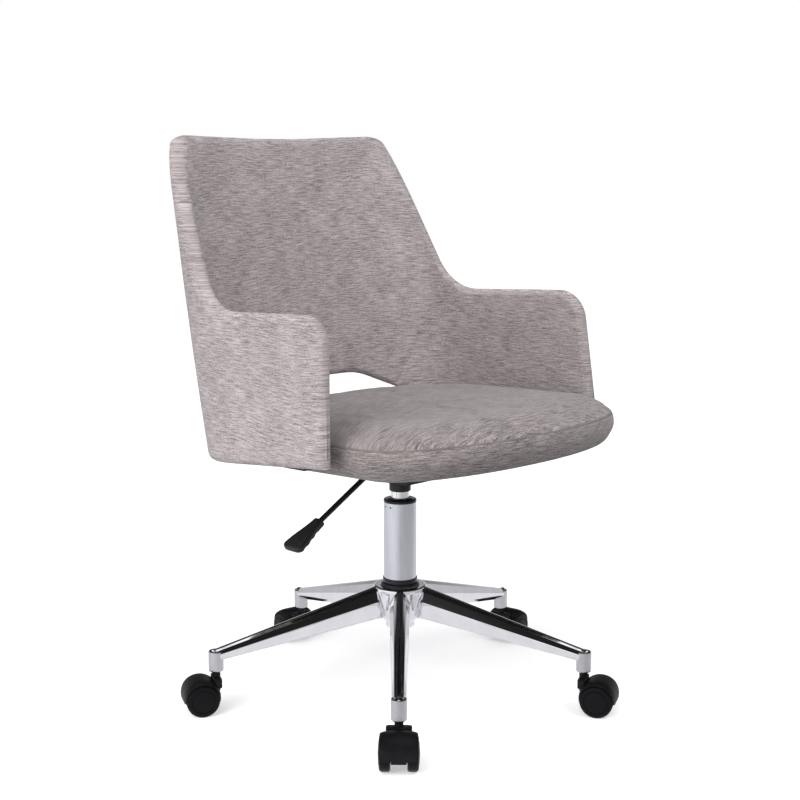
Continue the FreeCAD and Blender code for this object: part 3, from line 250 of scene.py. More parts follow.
# %% [markdown]
# ## Cloth
# The cover is a heathered taupe weave: thick and thin weft threads run level round the shell, so the cloth
# shows short level streaks, with light and dark flecks and a soft mottling. The cloth map of each piece is
# in metres, along the thread and up, so that one formula fits every piece. The threads themselves are two
# crossing waves, used only for the bump. Along every seam the colour is darkened: painted shade of the seam's
# groove.

# %% Cloth finish
def cloth(name, dark, light):
    """Colour: streaks, flecks and mottling between two tones, with painted shade along the seams. Bump: threads
    and slubs.
    """
    finish = Finish(name, rough=0.9, Sheen_Weight=0.25, Sheen_Roughness=0.5, Specular_IOR_Level=0.2)
    flat = finish.place(uv=True)
    drift = finish.noise(flat, 9.0, 1.0) * 0.018
    bent = finish.node("ShaderNodeVectorMath", {"operation": "ADD"},
                       {0: flat, 1: finish.node("ShaderNodeCombineXYZ", {}, {"Y": drift})})

    def along_weft(length, height, detail):
        """Noise with so many features to the metre along the thread and across it."""
        inputs = {0: bent, 1: (length, height, 1)}
        stretched = finish.node("ShaderNodeVectorMath", {"operation": "MULTIPLY"}, inputs)
        return finish.noise(stretched, 1.0, detail, 0.6)

    streak = along_weft(46, 820, 3.0)
    slub = along_weft(24, 430, 3.0)
    fleck = along_weft(240, 900, 2.0)
    mottle = finish.noise(flat, 16.0, 3.0)
    tone = (finish.spread(streak, 0.36, 0.64) * 0.44 + finish.spread(slub, 0.36, 0.66) * 0.19
            + finish.spread(fleck, 0.38, 0.64) * 0.28 + finish.spread(mottle, 0.3, 0.7) * 0.11 - 0.01)
    warp = finish.wave(flat, 260.0, "X")
    weft = finish.wave(flat, 330.0, "Y")
    relief = warp * 0.3 + weft * 0.4 + streak * 1.2 + slub * 0.8
    colour = finish.mix(tone, dark, light)
    # Painted shade: the colour darkens to 0.74 along each seam's line, standing in for the shade in the seam's
    # groove.
    colour = finish.darkened(colour, finish.spread(finish.mark("seam"), 0.0003, 0.0018, 0.74, 1.0))
    return finish.paint(colour, rough=finish.spread(fleck, 0.3, 0.7, 0.82, 0.98), bump=relief, height=0.0006,
                        strength=0.7)


shell_cloth = cloth("shell_cloth", (0.115, 0.094, 0.092), (0.73, 0.65, 0.65))
seat_cloth = cloth("seat_cloth", (0.054, 0.043, 0.040), (0.53, 0.466, 0.46))
print("cloth finishes made")


# %% [markdown]
# ## Metals and mouldings
# Chrome plate is a nearly perfect mirror with a trace of haze. The column is satin: its brushed skin runs up
# and down, so the noise is stretched along Z, and two small crimp marks near its top are only painted shade:
# two dark spots in the colour. The castors are nylon with a fine grain, and the lever and the seat's plate
# carry black paint.

# %% Metals
def chrome(name, tint, rough):
    """A mirror whose haze and tint vary gently."""
    finish = Finish(name, rough=rough, metal=1.0)
    cloud = finish.noise(finish.place(), 40.0, 3.0)
    colour = finish.mix(finish.spread(cloud, 0.3, 0.7), tuple(0.94 * c for c in tint), tint)
    haze = finish.noise(finish.place(), 220.0, 2.0)
    return finish.paint(colour, rough=finish.spread(haze, 0.3, 0.75, rough * 0.7, rough * 1.5),
                        bump=cloud, height=0.00003, strength=0.3)


def satin(name, tint, rough, stretch, dimple_shade_spots=()):
    """Brushed metal: fine streaks along one axis change tone, haze and relief; the shade of each dimple is
    painted as a dark spot.
    """
    finish = Finish(name, rough=rough, metal=1.0)
    brush = finish.noise(finish.place(stretch), 1.0, 3.0, 0.6)
    cloud = finish.noise(finish.place((60, 60, 9)), 1.0, 2.0)
    tone = finish.spread(brush, 0.3, 0.7) * 0.6 + finish.spread(cloud, 0.3, 0.7) * 0.4
    colour = finish.mix(tone, tuple(0.82 * c for c in tint), tint)
    # Painted shade: each crimp dimple is a dark spot in the colour, with no pit in the surface.
    for place in dimple_shade_spots:
        inputs = {0: finish.place(), 1: place}
        away = finish.node("ShaderNodeVectorMath", {"operation": "DISTANCE"}, inputs, out=1)
        colour = finish.darkened(colour, finish.spread(away, 0.0010, 0.0019, 0.06, 1.0))
    return finish.paint(colour, rough=finish.spread(tone, 0.0, 1.0, rough * 0.8, rough * 1.25), bump=brush,
                        height=0.00005, strength=0.35)


base_chrome = chrome("base_chrome", (0.80, 0.80, 0.82), 0.07)
tube_chrome = chrome("tube_chrome", (0.78, 0.78, 0.79), 0.14)
COLUMN_RADIUS, CRIMP_Z = 0.025, 0.2950
CRIMPS = [(COLUMN_RADIUS * math.cos(math.radians(turn)), COLUMN_RADIUS * math.sin(math.radians(turn)), CRIMP_Z)
          for turn in (163, 190)]
column_satin = satin("column_satin", (0.66, 0.67, 0.71), 0.30, (900, 900, 26), CRIMPS)
socket_satin = satin("socket_satin", (0.60, 0.60, 0.62), 0.30, (500, 500, 300))
plain_steel = satin("plain_steel", (0.56, 0.56, 0.57), 0.38, (400, 400, 1200))
print("metals made")


# %% Mouldings, paint, wood and backing
def moulding(name, tone, rough, grain, relief, lift=0.012, gleam=0.3):
    """Black plastic, paint or rubber: a fine grain lifts the tone and roughens the skin."""
    finish = Finish(name, rough=rough, Specular_IOR_Level=gleam)
    speck = finish.noise(finish.place(), grain, 2.0, 0.6)
    cloud = finish.noise(finish.place(), 30.0, 2.0)
    share = finish.spread(speck, 0.4, 0.75) * 0.7 + finish.spread(cloud, 0.3, 0.7) * 0.3
    colour = finish.mix(share, tone, tuple(c + lift for c in tone))
    return finish.paint(colour, rough=finish.spread(speck, 0.3, 0.7, rough * 0.88, rough * 1.12), bump=speck,
                        height=relief, strength=0.4)


def plywood(name):
    """Grain stretched along Y between a pale and a brown tone."""
    finish = Finish(name, rough=0.7)
    grain = finish.noise(finish.place((160, 9, 160)), 1.0, 4.0, 0.6)
    fleck = finish.noise(finish.place((900, 60, 900)), 1.0, 2.0)
    share = finish.spread(grain, 0.3, 0.7) * 0.75 + fleck * 0.25
    colour = finish.mix(share, (0.40, 0.27, 0.15), (0.66, 0.50, 0.31))
    return finish.paint(colour, rough=finish.spread(grain, 0.3, 0.7, 0.6, 0.8), bump=grain, height=0.0003)


castor_nylon = moulding("castor_nylon", (0.0045, 0.0038, 0.0048), 0.5, 900.0, 0.00012, 0.009, 0.2)
wheel_nylon = moulding("wheel_nylon", (0.0032, 0.003, 0.0038), 0.45, 700.0, 0.00005, 0.002, 0.16)
black_plastic = moulding("black_plastic", (0.014, 0.014, 0.016), 0.42, 800.0, 0.00008)
collar_plastic = moulding("collar_plastic", (0.010, 0.010, 0.012), 0.16, 500.0, 0.00002, 0.006)
black_paint = moulding("black_paint", (0.011, 0.011, 0.012), 0.33, 600.0, 0.00004, 0.008)
bumper_rubber = moulding("bumper_rubber", (0.016, 0.016, 0.016), 0.85, 500.0, 0.0001)
dust_cloth = moulding("dust_cloth", (0.012, 0.012, 0.013), 0.95, 1400.0, 0.0003, 0.02)
board_wood = plywood("board_wood")
finish_of_slot = {"base_chrome": base_chrome, "tube_chrome": tube_chrome, "column_satin": column_satin,
                  "socket_satin": socket_satin, "plain_steel": plain_steel, "black_paint": black_paint,
                  "black_plastic": black_plastic, "collar_plastic": collar_plastic,
                  "caster_plastic": castor_nylon, "bumper_rubber": bumper_rubber, "board_wood": board_wood,
                  "dust_cloth": dust_cloth, "seat_fabric": seat_cloth, "shell_fabric": shell_cloth}


def dress(piece, material, body, slot, *replaced):
    """Gives a drawn piece its finish and its body and hides the designed nodes that it stands for; the slot is
    not used.
    """
    piece.data.materials.clear()
    piece.data.materials.append(material)
    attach(piece, body)
    if replaced:
        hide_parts(*replaced)
    print(piece.name, len(piece.data.polygons), "faces")
    return piece


for row in frame["record"]["subparts"]:
    mesh = nodes[row["node"]].data
    mesh.materials.clear()
    mesh.materials.append(finish_of_slot[row["material_slot"]])


# %% [markdown]
# ## The shell's shape
# Seen from above, the shell is a U: two straight arms that splay towards the front and a superellipse behind
# them, whose size and squareness change with height. A place on it is given by two numbers: the share of the
# way from the middle of the back (0) to the front (1), and the height. Two tables turn that share into the
# superellipse's own parameter and back, so that equal steps of the share are equal steps along the cloth.

# %% Plan of the shell at any height
LOW_Z, HIGH_Z = 0.3865, 0.8465
HALF_WIDTH, BACK_Y = (0.2845, 0.2385), (0.213, 0.289)
CORNER_DEPTH, SQUARENESS = (0.157, 0.0595), (2.5, 3.7)
SPLAY = 0.062
PLAN_FRONT_Y = -0.165
THICKNESS = 0.022
RIM_R = THICKNESS / 2


def at_height(pair, z):
    """A dimension between its value at the low height and the one at the high height."""
    return pair[0] + (pair[1] - pair[0]) * (z - LOW_Z) / (HIGH_Z - LOW_Z)


def shell_point(q, z, inset):
    """q from 0 to 1 runs round the superellipse from the back's middle; from 1 to 2 down the straight arm."""
    half = at_height(HALF_WIDTH, z) - inset
    depth = at_height(CORNER_DEPTH, z) - inset / 2
    start = at_height(BACK_Y, z) - inset - depth
    power = 2 / at_height(SQUARENESS, z)
    angle = (1 - np.clip(q, 0, 1)) * math.pi / 2
    reach = np.abs(np.sin(angle)) ** power * (q < 1)
    y = start + depth * reach + np.clip(q - 1, 0, 1) * (PLAN_FRONT_Y - start)
    x = np.where(q < 1, np.abs(np.cos(angle)) ** power, 1.0) * (half - SPLAY * (y - start))
    return np.stack([x, y, z + 0 * x], -1)


table_z = np.linspace(0.33, 0.88, 56)
table_q = np.linspace(0, 2, 2401)
table_share = np.linspace(0, 1, 401)
dense = shell_point(table_q[None, :] + 0 * table_z[:, None], table_z[:, None] + 0 * table_q[None, :], 0.0)
steps = np.linalg.norm(np.diff(dense, axis=1), axis=2)
travelled = np.concatenate([np.zeros((len(table_z), 1)), np.cumsum(steps, 1)], 1)
plan_length = travelled[:, -1]
share_of_q = travelled / plan_length[:, None]
q_of_share = np.stack([np.interp(table_share, row, table_q) for row in share_of_q])
print("plan half length, low and high:", plan_length[0].round(4), plan_length[-1].round(4))


def look_up(table, columns, value, z):
    """A table over heights and evenly spaced columns, read between its entries."""
    row = np.clip((z - table_z[0]) / (table_z[1] - table_z[0]), 0, len(table_z) - 1.001)
    column = np.clip((value - columns[0]) / (columns[1] - columns[0]), 0, len(columns) - 1.001)
    r, c = row.astype(int), column.astype(int)
    a, b = row - r, column - c
    low = table[r, c] * (1 - b) + table[r, c + 1] * b
    high = table[r + 1, c] * (1 - b) + table[r + 1, c + 1] * b
    return low * (1 - a) + high * a


def on_shell(share, z, inset=0.0):
    """The point of the shell at a share of its plan and a height, drawn in by an inset."""
    return shell_point(look_up(q_of_share, table_share, share, z), z, inset)


def share_at_y(y, z):
    """The share at which the outer face reaches a depth y."""
    depth = at_height(CORNER_DEPTH, z)
    start = at_height(BACK_Y, z) - depth
    reach = np.clip((y - start) / depth, 0, 1)
    angle = np.arcsin(reach ** (at_height(SQUARENESS, z) / 2))
    q = np.where(y > start, 1 - angle / (math.pi / 2), 1 + (start - y) / (start - PLAN_FRONT_Y))
    return look_up(share_of_q, table_q, q, z)


def share_at_x(x, z):
    """The share at which the outer face reaches a half width x, found by repeated correction."""
    share = 0.4 * np.abs(x) / 0.24
    for _ in range(30):
        share = share + (np.abs(x) - on_shell(share, z)[..., 0]) * 1.2
    return share


# %% [markdown]
# ## The shell's edges
# From the side the arm's front leans back a little and its corner is well rounded; the arm's top runs level
# to the wing, which climbs in a soft bend and then straight to the top. The top edge dips slightly in the
# middle. At the foot of the back an arched opening shows the room between the cushion and the back.

# %% Edge curves
TAN_FOOT = math.tan(math.radians(6.1))
SIDE_VIEW = [(-0.1548, 0.36), (-0.1305, 0.6145), (0.135, 0.6015), (0.272, 0.852), (0.34, 0.852)]
SIDE_RADII = [0, 0.045, 0.085, 0.024, 0]
OPENING_VIEW = [(0.0, 0.468), (0.112, 0.468), (0.200, 0.432), (0.192, 0.4135), (0.0, 0.4135)]
OPENING_RADII = [0, 0.110, 0.009, 0.009, 0]


def foot_z(y, margin):
    """Height of the shell's bottom edge, which falls towards the back."""
    return 0.3975 + margin - y * TAN_FOOT


def top_z(x, margin):
    """The top edge in front view: a shallow dip in the middle and rounded shoulders."""
    x = np.abs(x)
    dip = np.where(x < 0.0757, 0.00585 - x * x / 5.0, np.clip(0.007 - 0.0303 * x, 0, None))
    shoulder = np.clip(x - 0.205, 0, None) ** 2 / 0.06
    return 0.852 - margin - dip - shoulder


def resampled(line, step):
    """The same line with evenly spaced points."""
    length = np.concatenate([[0], np.cumsum(np.linalg.norm(np.diff(line, axis=0), axis=1))])
    even = np.linspace(0, length[-1], int(length[-1] / step) + 1)
    return np.stack([np.interp(even, length, line[:, k]) for k in range(line.shape[1])], 1)


def upper_edge(margin):
    """(share, height) along the free edge, from the arm's front foot over the wing to the top's middle."""
    corners = np.array(SIDE_VIEW)
    wing = math.atan2(0.852 - 0.6015, 0.272 - 0.135)
    corners[:, 1] -= np.array([0, margin, margin, margin, margin])
    corners[:, 0] += np.array([margin, margin, margin * math.tan(wing / 2),
                               margin / math.tan(wing / 2 + math.pi / 4), 0])
    radii = [0, SIDE_RADII[1] - margin, SIDE_RADII[2] + margin, SIDE_RADII[3] - margin, 0]
    side = resampled(rounded_line(corners, radii, 2.0), 0.001)
    side = side[(side[:, 1] > foot_z(side[:, 0], margin)) & (side[:, 1] < 0.852 - margin - 1e-5)]
    share = share_at_y(side[:, 0], side[:, 1])
    x = on_shell(share, side[:, 1])[:, 0]
    height = np.minimum(side[:, 1], top_z(x, margin))
    across = np.linspace(x[-1], 0, 160)[1:]
    across_z = top_z(across, margin)
    across_share = share_at_x(across, across_z)
    return np.concatenate([share, across_share]), np.concatenate([height, across_z])


def opening_edge(margin):
    """(half width, height) along the opening's half, from the crown's middle round to the foot's middle."""
    corners = np.array(OPENING_VIEW)
    corners[:, 1] += np.array([margin, margin, 0, -margin, -margin])
    corners[:, 0] += np.array([0, margin / 2, margin, margin, 0])
    return resampled(rounded_line(corners, OPENING_RADII, 4.0), 0.0008)


edge_share, edge_z = upper_edge(0.0)
print("edge points:", len(edge_share), "highest", edge_z.max().round(4))


# %% [markdown]
# ## The grid over the shell
# Columns stand at a fixed share of the plan, except near the arm's front, where they lean with its edge, and
# rows run between the bottom edge, the opening's two edges and the upper edge. Rows and columns crowd together
# near every free edge, because that is where the padded rim turns over.

# %% Columns and rows
LEAN_REF_Z = 0.5
PLAN_HALF = 0.62


def front_share(z, margin):
    """The share of the arm's front edge at a height."""
    y = -0.1548 + margin + (z - 0.36) * (0.1548 - 0.1305) / (0.6145 - 0.36)
    return share_at_y(y, z)


def crowded(total, fine, coarse, both=True):
    """Shares of a length in steps that are fine at one end, or at both, and grow to coarse away from it."""
    offsets = [0.0]
    while offsets[-1] < (total / 2 if both else total):
        offsets.append(offsets[-1] + fine + (coarse - fine) * min(1.0, (offsets[-1] / 0.03) ** 1.5))
    half = np.array(offsets) / offsets[-1]
    return np.concatenate([half / 2, 1 - half[::-1][1:] / 2]) if both else half


def fade(k, front):
    """1 at the arm's front, 0 far from it: how much a column leans."""
    return smooth_step(1 - (front - k) / 0.22)


def shell_grid(margin):
    """Shares and heights of the half grid's points, lower rows and upper rows, shape (rows, columns)."""
    reference = np.array([LEAN_REF_Z])
    front = front_share(reference, margin)[0]
    share, height = upper_edge(margin)
    start = int(np.argmax(height > foot_z(PLAN_FRONT_Y, margin) + 0.01))
    lean = front_share(height, margin) - front
    k = share.copy()
    for _ in range(8):
        k = share - lean * fade(k, front)
    opening = opening_edge(margin)
    tip = int(np.argmax(opening[:, 0]))
    tip_x, tip_z = opening[tip]
    tip_share = share_at_x(np.array([tip_x]), np.array([tip_z]))[0]
    arm = front - crowded((front - tip_share) * PLAN_HALF, 0.0009, 0.0042) * (front - tip_share)
    back = tip_share * (1 - crowded(tip_share * PLAN_HALF, 0.0009, 0.0042, False))
    columns = np.concatenate([arm[:-1], back])
    tops = np.interp(columns, k[start:][::-1], height[start:][::-1])
    order = columns > k[start:].max()
    tops[order] = height[start:][np.argmax(k[start:])]

    def column_share(z):
        return columns + (front_share(z, margin) - front) * fade(columns, front)

    arc_top = SIDE_VIEW[1][1] - margin
    tops[0] = min(tops[0], arc_top - SIDE_RADII[1] + margin)
    feet = np.full(len(columns), 0.40)
    for _ in range(6):
        feet = foot_z(on_shell(column_share(feet), feet)[:, 1], margin)
    crown = np.full(len(columns), tip_z)
    sill = np.full(len(columns), tip_z)
    for _ in range(3):
        crown_x = on_shell(column_share(crown), crown)[:, 0]
        sill_x = on_shell(column_share(sill), sill)[:, 0]
        over = np.interp(crown_x, opening[:tip + 1, 0], opening[:tip + 1, 1])
        under = np.interp(sill_x, opening[tip:, 0][::-1], opening[tip:, 1][::-1])
        crown = np.where(columns < tip_share, over, tip_z)
        sill = np.where(columns < tip_share, under, tip_z)
    low_rows = crowded(0.035, 0.0008, 0.0035)[:, None]
    high_rows = crowded(0.30, 0.0009, 0.0046)[:, None]
    low_z = feet + (sill - feet) * low_rows
    high_z = crown + (tops - crown) * high_rows
    low_share = np.stack([column_share(z) for z in low_z])
    high_share = np.stack([column_share(z) for z in high_z])
    return (low_share, low_z), (high_share, high_z)


def distance_to_edges(points, edges):
    """Shortest distance from each point to a chain of short straight pieces, in blocks."""
    found = np.full(len(points), 1.0)
    for line in edges:
        a, b = line[:-1], line[1:]
        d = b - a
        size = np.maximum((d * d).sum(1), 1e-12)
        for block in range(0, len(points), 4000):
            p = points[block:block + 4000, None, :]
            t = np.clip(((p - a) * d).sum(2) / size, 0, 1)[..., None]
            gap = np.linalg.norm(p - a - t * d, axis=2).min(1)
            found[block:block + 4000] = np.minimum(found[block:block + 4000], gap)
    return found


foot_shares = np.linspace(0, front_share(np.array([0.41]), 0.0)[0], 300)
foot_heights = np.full(300, 0.40)
for _ in range(6):
    foot_heights = foot_z(on_shell(foot_shares, foot_heights)[:, 1], 0.0)
opening_line = opening_edge(0.0)[::3]
free_edges = [on_shell(edge_share, edge_z)[::3], on_shell(foot_shares, foot_heights),
              on_shell(share_at_x(opening_line[:, 0], opening_line[:, 1]), opening_line[:, 1])]
print("free edges:", [len(line) for line in free_edges])


# %% [markdown]
# ## Cover and lining
# The rim is a half round: a point nearer to a free edge than the rim's radius sits deeper by the amount that a
# circle falls away. The outer cover goes over the rim and ends in a seam on the inside, where it dives under
# the lining. The lining is a sheet of its own, whose margin is tucked below the cover, with a closed seam down
# each inner corner. Both are slightly soft: a few slow waves of well under a millimetre keep them from looking
# machined.

# %% Building one upholstered sheet
SEAM_DEPTH = 0.0045
CORNER_SEAM_Z = (0.40, 0.456, 0.4705, 0.519, 0.568, 0.6035, 0.64)
CORNER_SEAM_SHARE = (0.265, 0.3275, 0.3433, 0.405, 0.4617, 0.5125, 0.565)


def rim_fall(d):
    """How far a half-round rim has fallen away at a distance from its edge."""
    near = np.clip(RIM_R - d, 0, RIM_R)
    return RIM_R - np.sqrt(np.maximum(RIM_R ** 2 - near ** 2, 0))


def softness(points, seed, size):
    """Slow waves of the padding: a few crossing sines with random directions."""
    chance = np.random.default_rng(seed)
    total = np.zeros(points.shape[:-1])
    for _ in range(9):
        direction = chance.normal(size=3)
        direction /= np.linalg.norm(direction)
        total += np.sin(points @ direction * chance.uniform(25, 75) + chance.uniform(0, 6.28))
    return total / 9 * size


def sheet_points(grids, front_depth, back_depth, seed):
    """Both faces of one sheet over the half grid, with its cloth map and the distance to the nearest seam."""
    result = []
    for share, z in grids:
        shape = share.shape
        flat = on_shell(share.ravel(), z.ravel())
        d = distance_to_edges(flat, free_edges).reshape(shape)
        map_u = share * np.interp(z, table_z, plan_length)
        seam_share = np.interp(z, CORNER_SEAM_Z, CORNER_SEAM_SHARE)
        corner = np.abs(share - seam_share) * 0.42
        corner = np.where(z < CORNER_SEAM_Z[-1], corner, 1.0)
        soft = softness(flat, seed, 0.0012).reshape(shape) * smooth_step(d / 0.03)
        faces = []
        for side, depth in ((0, front_depth), (1, back_depth)):
            inset = depth(d, corner) + (soft if side else -soft) * 0.5
            faces.append(on_shell(share.ravel(), z.ravel(), inset.ravel()).reshape(*shape, 3))
        result.append((faces, map_u, z, d, corner))
    return result


def mirrored(values, flip=False):
    """The half grid's columns followed by their mirror image, without a second middle column."""
    other = values[:, ::-1][:, 1:].copy()
    if flip:
        other = other * np.array([-1, 1, 1])
    return np.concatenate([values, other], 1)


def upholstered(margin, outer_depth, inner_depth, seam_mark, seed):
    """A closed sheet round the shell: outer face, inner face, and their joined edges."""
    points, uv, seams, quads, count = [], [], [], [], 0
    for faces, map_u, map_v, d, corner in sheet_points(shell_grid(margin), outer_depth, inner_depth, seed):
        rows, columns = map_u.shape
        full = 2 * columns - 1
        for side, face in enumerate(faces):
            points.append(mirrored(face, True).reshape(-1, 3))
            signed = np.concatenate([map_u, -map_u[:, ::-1][:, 1:]], 1)
            uv.append(np.stack([signed, mirrored(map_v)], -1).reshape(-1, 2))
            seams.append(mirrored(seam_mark(d, corner)).ravel())
            quads.append(grid_quads(rows, full) + count + side * rows * full)
        first = np.arange(rows * full).reshape(rows, full) + count
        second = first + rows * full
        for a, b in ((first[0], second[0]), (first[-1], second[-1]), (first[:, 0], second[:, 0]),
                     (first[:, -1], second[:, -1])):
            quads.append(np.stack([a[:-1], a[1:], b[1:], b[:-1]], -1))
        count += 2 * rows * full
    return np.concatenate(points), np.concatenate(quads), np.concatenate(uv), np.concatenate(seams)


# %% Joining the two stacks of rows
def joined_sheet(name, points, quads, uv, seams):
    """Merges the row stacks where they meet and drops the walls left between them."""
    piece = new_piece(name, points, quads, uv, {"seam": seams}, merge=2e-5)
    work = bmesh.new()
    work.from_mesh(piece.data)
    shared = {edge for edge in work.edges if len(edge.link_faces) > 2}
    walls = {face for edge in shared for face in edge.link_faces
             if sum(other in shared for other in face.edges) >= 2 and face.calc_area() > 0}
    bmesh.ops.delete(work, geom=list(walls), context="FACES_ONLY")
    bmesh.ops.recalc_face_normals(work, faces=work.faces)
    work.to_mesh(piece.data)
    work.free()
    return piece


def cover_inner(d, corner):
    """The cover's inner face: round the rim, then diving below the lining past the seam."""
    return THICKNESS - rim_fall(d) - 0.003 * smooth_step((d - SEAM_DEPTH) / 0.006)


def cover_outer(d, corner):
    """The cover's outer face: flush with the shell's outside but for the rim."""
    return rim_fall(d)


def lining_face(d, corner):
    """The lining's visible face: it rises out of the seam and dents at the corner seam."""
    rise = -0.0020 + 0.0021 * smooth_step((d - SEAM_DEPTH + 0.001) / 0.0028)
    return THICKNESS - rim_fall(d) + rise - 0.0022 * np.exp(-(corner / 0.0045) ** 2)


def lining_back(d, corner):
    """The lining's hidden face, well inside the cover."""
    return THICKNESS - 0.0065 - rim_fall(d) * 0.35


def cover_seam(d, corner):
    """The cover has no seam in sight, so it gets no painted seam shade."""
    return np.full_like(d, 1.0)


def lining_seam(d, corner):
    """Distance from the rim seam, or from the corner seam where that is nearer; the cloth paints shade along
    it.
    """
    return np.minimum(np.abs(d - SEAM_DEPTH) + 0.0008, corner)


cover = joined_sheet("shell_cover", *upholstered(0.0, cover_outer, cover_inner, cover_seam, 3))
lining = joined_sheet("shell_inner_lining", *upholstered(0.003, lining_back, lining_face, lining_seam, 5))
dress(cover, shell_cloth, "seat", "shell_fabric", "shell_outer_cover")
dress(lining, shell_cloth, "seat", "shell_fabric", "shell_lining")


# %% [markdown]
# ## The cushion
# The seat is a box cushion: a crowned top panel, an upright boxing strip round the side and an underside that
# is pulled over the board. Its plan follows the shell at the back and bulges in a flatter curve at the front.
# The form is rings round a centre. It is then inflated as cloth, with the underside and the seam held, so
# that the panels swell between their seams as stuffed panels do.

# %% Cushion form
SEAT_Z, SEAT_TILT = 0.3855, math.radians(2.5)
SPOKES = 288
PAD_HALF, PAD_BACK, PAD_CORNER_DEPTH = 0.247, 0.190, 0.146
PAD_FRONT_HALF, PAD_FRONT_Y, PAD_FRONT_BULGE = 0.250, -0.181, 0.110
PAD_SQUARENESS, PAD_FRONT_SQUARENESS = 2.5, 2.1


def cushion_outline(inset):
    """The plan at evenly spaced steps: a superellipse behind, straight sides and a flatter curve in front."""
    turn = np.linspace(0, math.pi, 241)
    half, depth, back = PAD_HALF - inset, PAD_CORNER_DEPTH - inset / 2, PAD_BACK - inset
    power = 2 / PAD_SQUARENESS
    rear_y = back - depth + depth * np.sin(turn) ** power
    rear_x = np.sign(np.cos(turn)) * np.abs(np.cos(turn)) ** power * (half - SPLAY * (rear_y - back + depth))
    power = 2 / PAD_FRONT_SQUARENESS
    front_x = -np.sign(np.cos(turn)) * np.abs(np.cos(turn)) ** power * (PAD_FRONT_HALF - inset)
    front_y = PAD_FRONT_Y - (PAD_FRONT_BULGE - inset) * np.sin(turn) ** power
    loop = np.concatenate([np.stack([rear_x, rear_y], 1), np.stack([front_x, front_y], 1)])
    loop = np.concatenate([loop, loop[:1]])
    length = np.concatenate([[0], np.cumsum(np.linalg.norm(np.diff(loop, axis=0), axis=1))])
    even = np.linspace(0, length[-1], SPOKES, endpoint=False)
    return np.stack([np.interp(even, length, loop[:, k]) for k in (0, 1)], 1), even


def seat_frame(points):
    """From the seat's level frame to the chair's: tipped back a little, then raised."""
    x, y, w = points[..., 0], points[..., 1], points[..., 2]
    c, s = math.cos(SEAT_TILT), math.sin(SEAT_TILT)
    return np.stack([x, y * c + w * s, SEAT_Z + w * c - y * s], -1)


SEAM_W, UNDER_W = 0.0445, 0.0134
outline, around = cushion_outline(0.002)
centre = np.array([0.0, -0.03])
edge_steps = np.array([0.115, 0.09, 0.068, 0.05, 0.035, 0.023, 0.014, 0.007, 0.003, 0.001])
spread = np.concatenate([np.linspace(0, 0.86, 34), 1 - edge_steps])
rings, ring_uv = [], []
for share in spread:
    ring = centre + (outline - centre) * share
    swell = 0.0205 * (1 - share ** 18) ** 0.5 + 0.0035 * (1 - share ** 2)
    rings.append(np.column_stack([ring, np.full(SPOKES, SEAM_W + swell)]))
    ring_uv.append(ring[:, :2])
seam_ring = len(rings)
boxing = [(0.0012, SEAM_W)] + [(-0.0022 * math.sin(math.pi * t) + 0.0035 * t ** 4, SEAM_W - 0.028 * t)
                               for t in np.linspace(0.05, 1, 14)]
boxing += [(0.0052, 0.0135), (0.0074, 0.0098), (0.0102, 0.0065), (0.0138, 0.0036), (0.018, 0.0018),
           (0.0215, 0.0011), (0.0242, 0.0014), (0.0248, 0.006), (0.0250, UNDER_W), (0.04, UNDER_W),
           (0.08, UNDER_W)]
for inset, w in boxing:
    if inset < 0.03:
        ring = cushion_outline(0.002 + inset)[0]
    else:
        ring = centre + (outline - centre) * (1 - inset / 0.26)
    rings.append(np.column_stack([ring, np.full(SPOKES, w)]))
    ring_uv.append(np.column_stack([around, np.full(SPOKES, w - 0.3)]))
rings.append(np.column_stack([np.tile(centre, (SPOKES, 1)), np.full(SPOKES, UNDER_W)]))
ring_uv.append(np.column_stack([around, np.full(SPOKES, -0.6)]))
cushion_points = seat_frame(np.array(rings))
print("cushion rings:", len(rings), "seam at ring", seam_ring)

# %% [markdown]
# Cloth needs one mesh without doubled points, so the poles are merged first. The held group is the underside
# and, more loosely, the seam. Pressure does the rest in twenty frames, and the swelling is capped so that the
# cushion stays between the arms.

# %% Inflating the cushion
levels = np.array(rings)[..., 2].ravel()
# Distance from the seam ring: it holds the seam while inflating and sets the cloth's painted shade along the
# seam.
seam_mark = np.full((len(rings), SPOKES), 1.0)
seam_mark[seam_ring] = 0.0
for step_away in (1, 2, 3):
    seam_mark[seam_ring - step_away] = 0.0016 * step_away
    seam_mark[seam_ring + step_away] = 0.0022 * step_away
cushion = new_piece("seat_pad", cushion_points, grid_quads(len(rings), SPOKES, False, True),
                    np.array(ring_uv), {"seam": seam_mark, "level": levels})


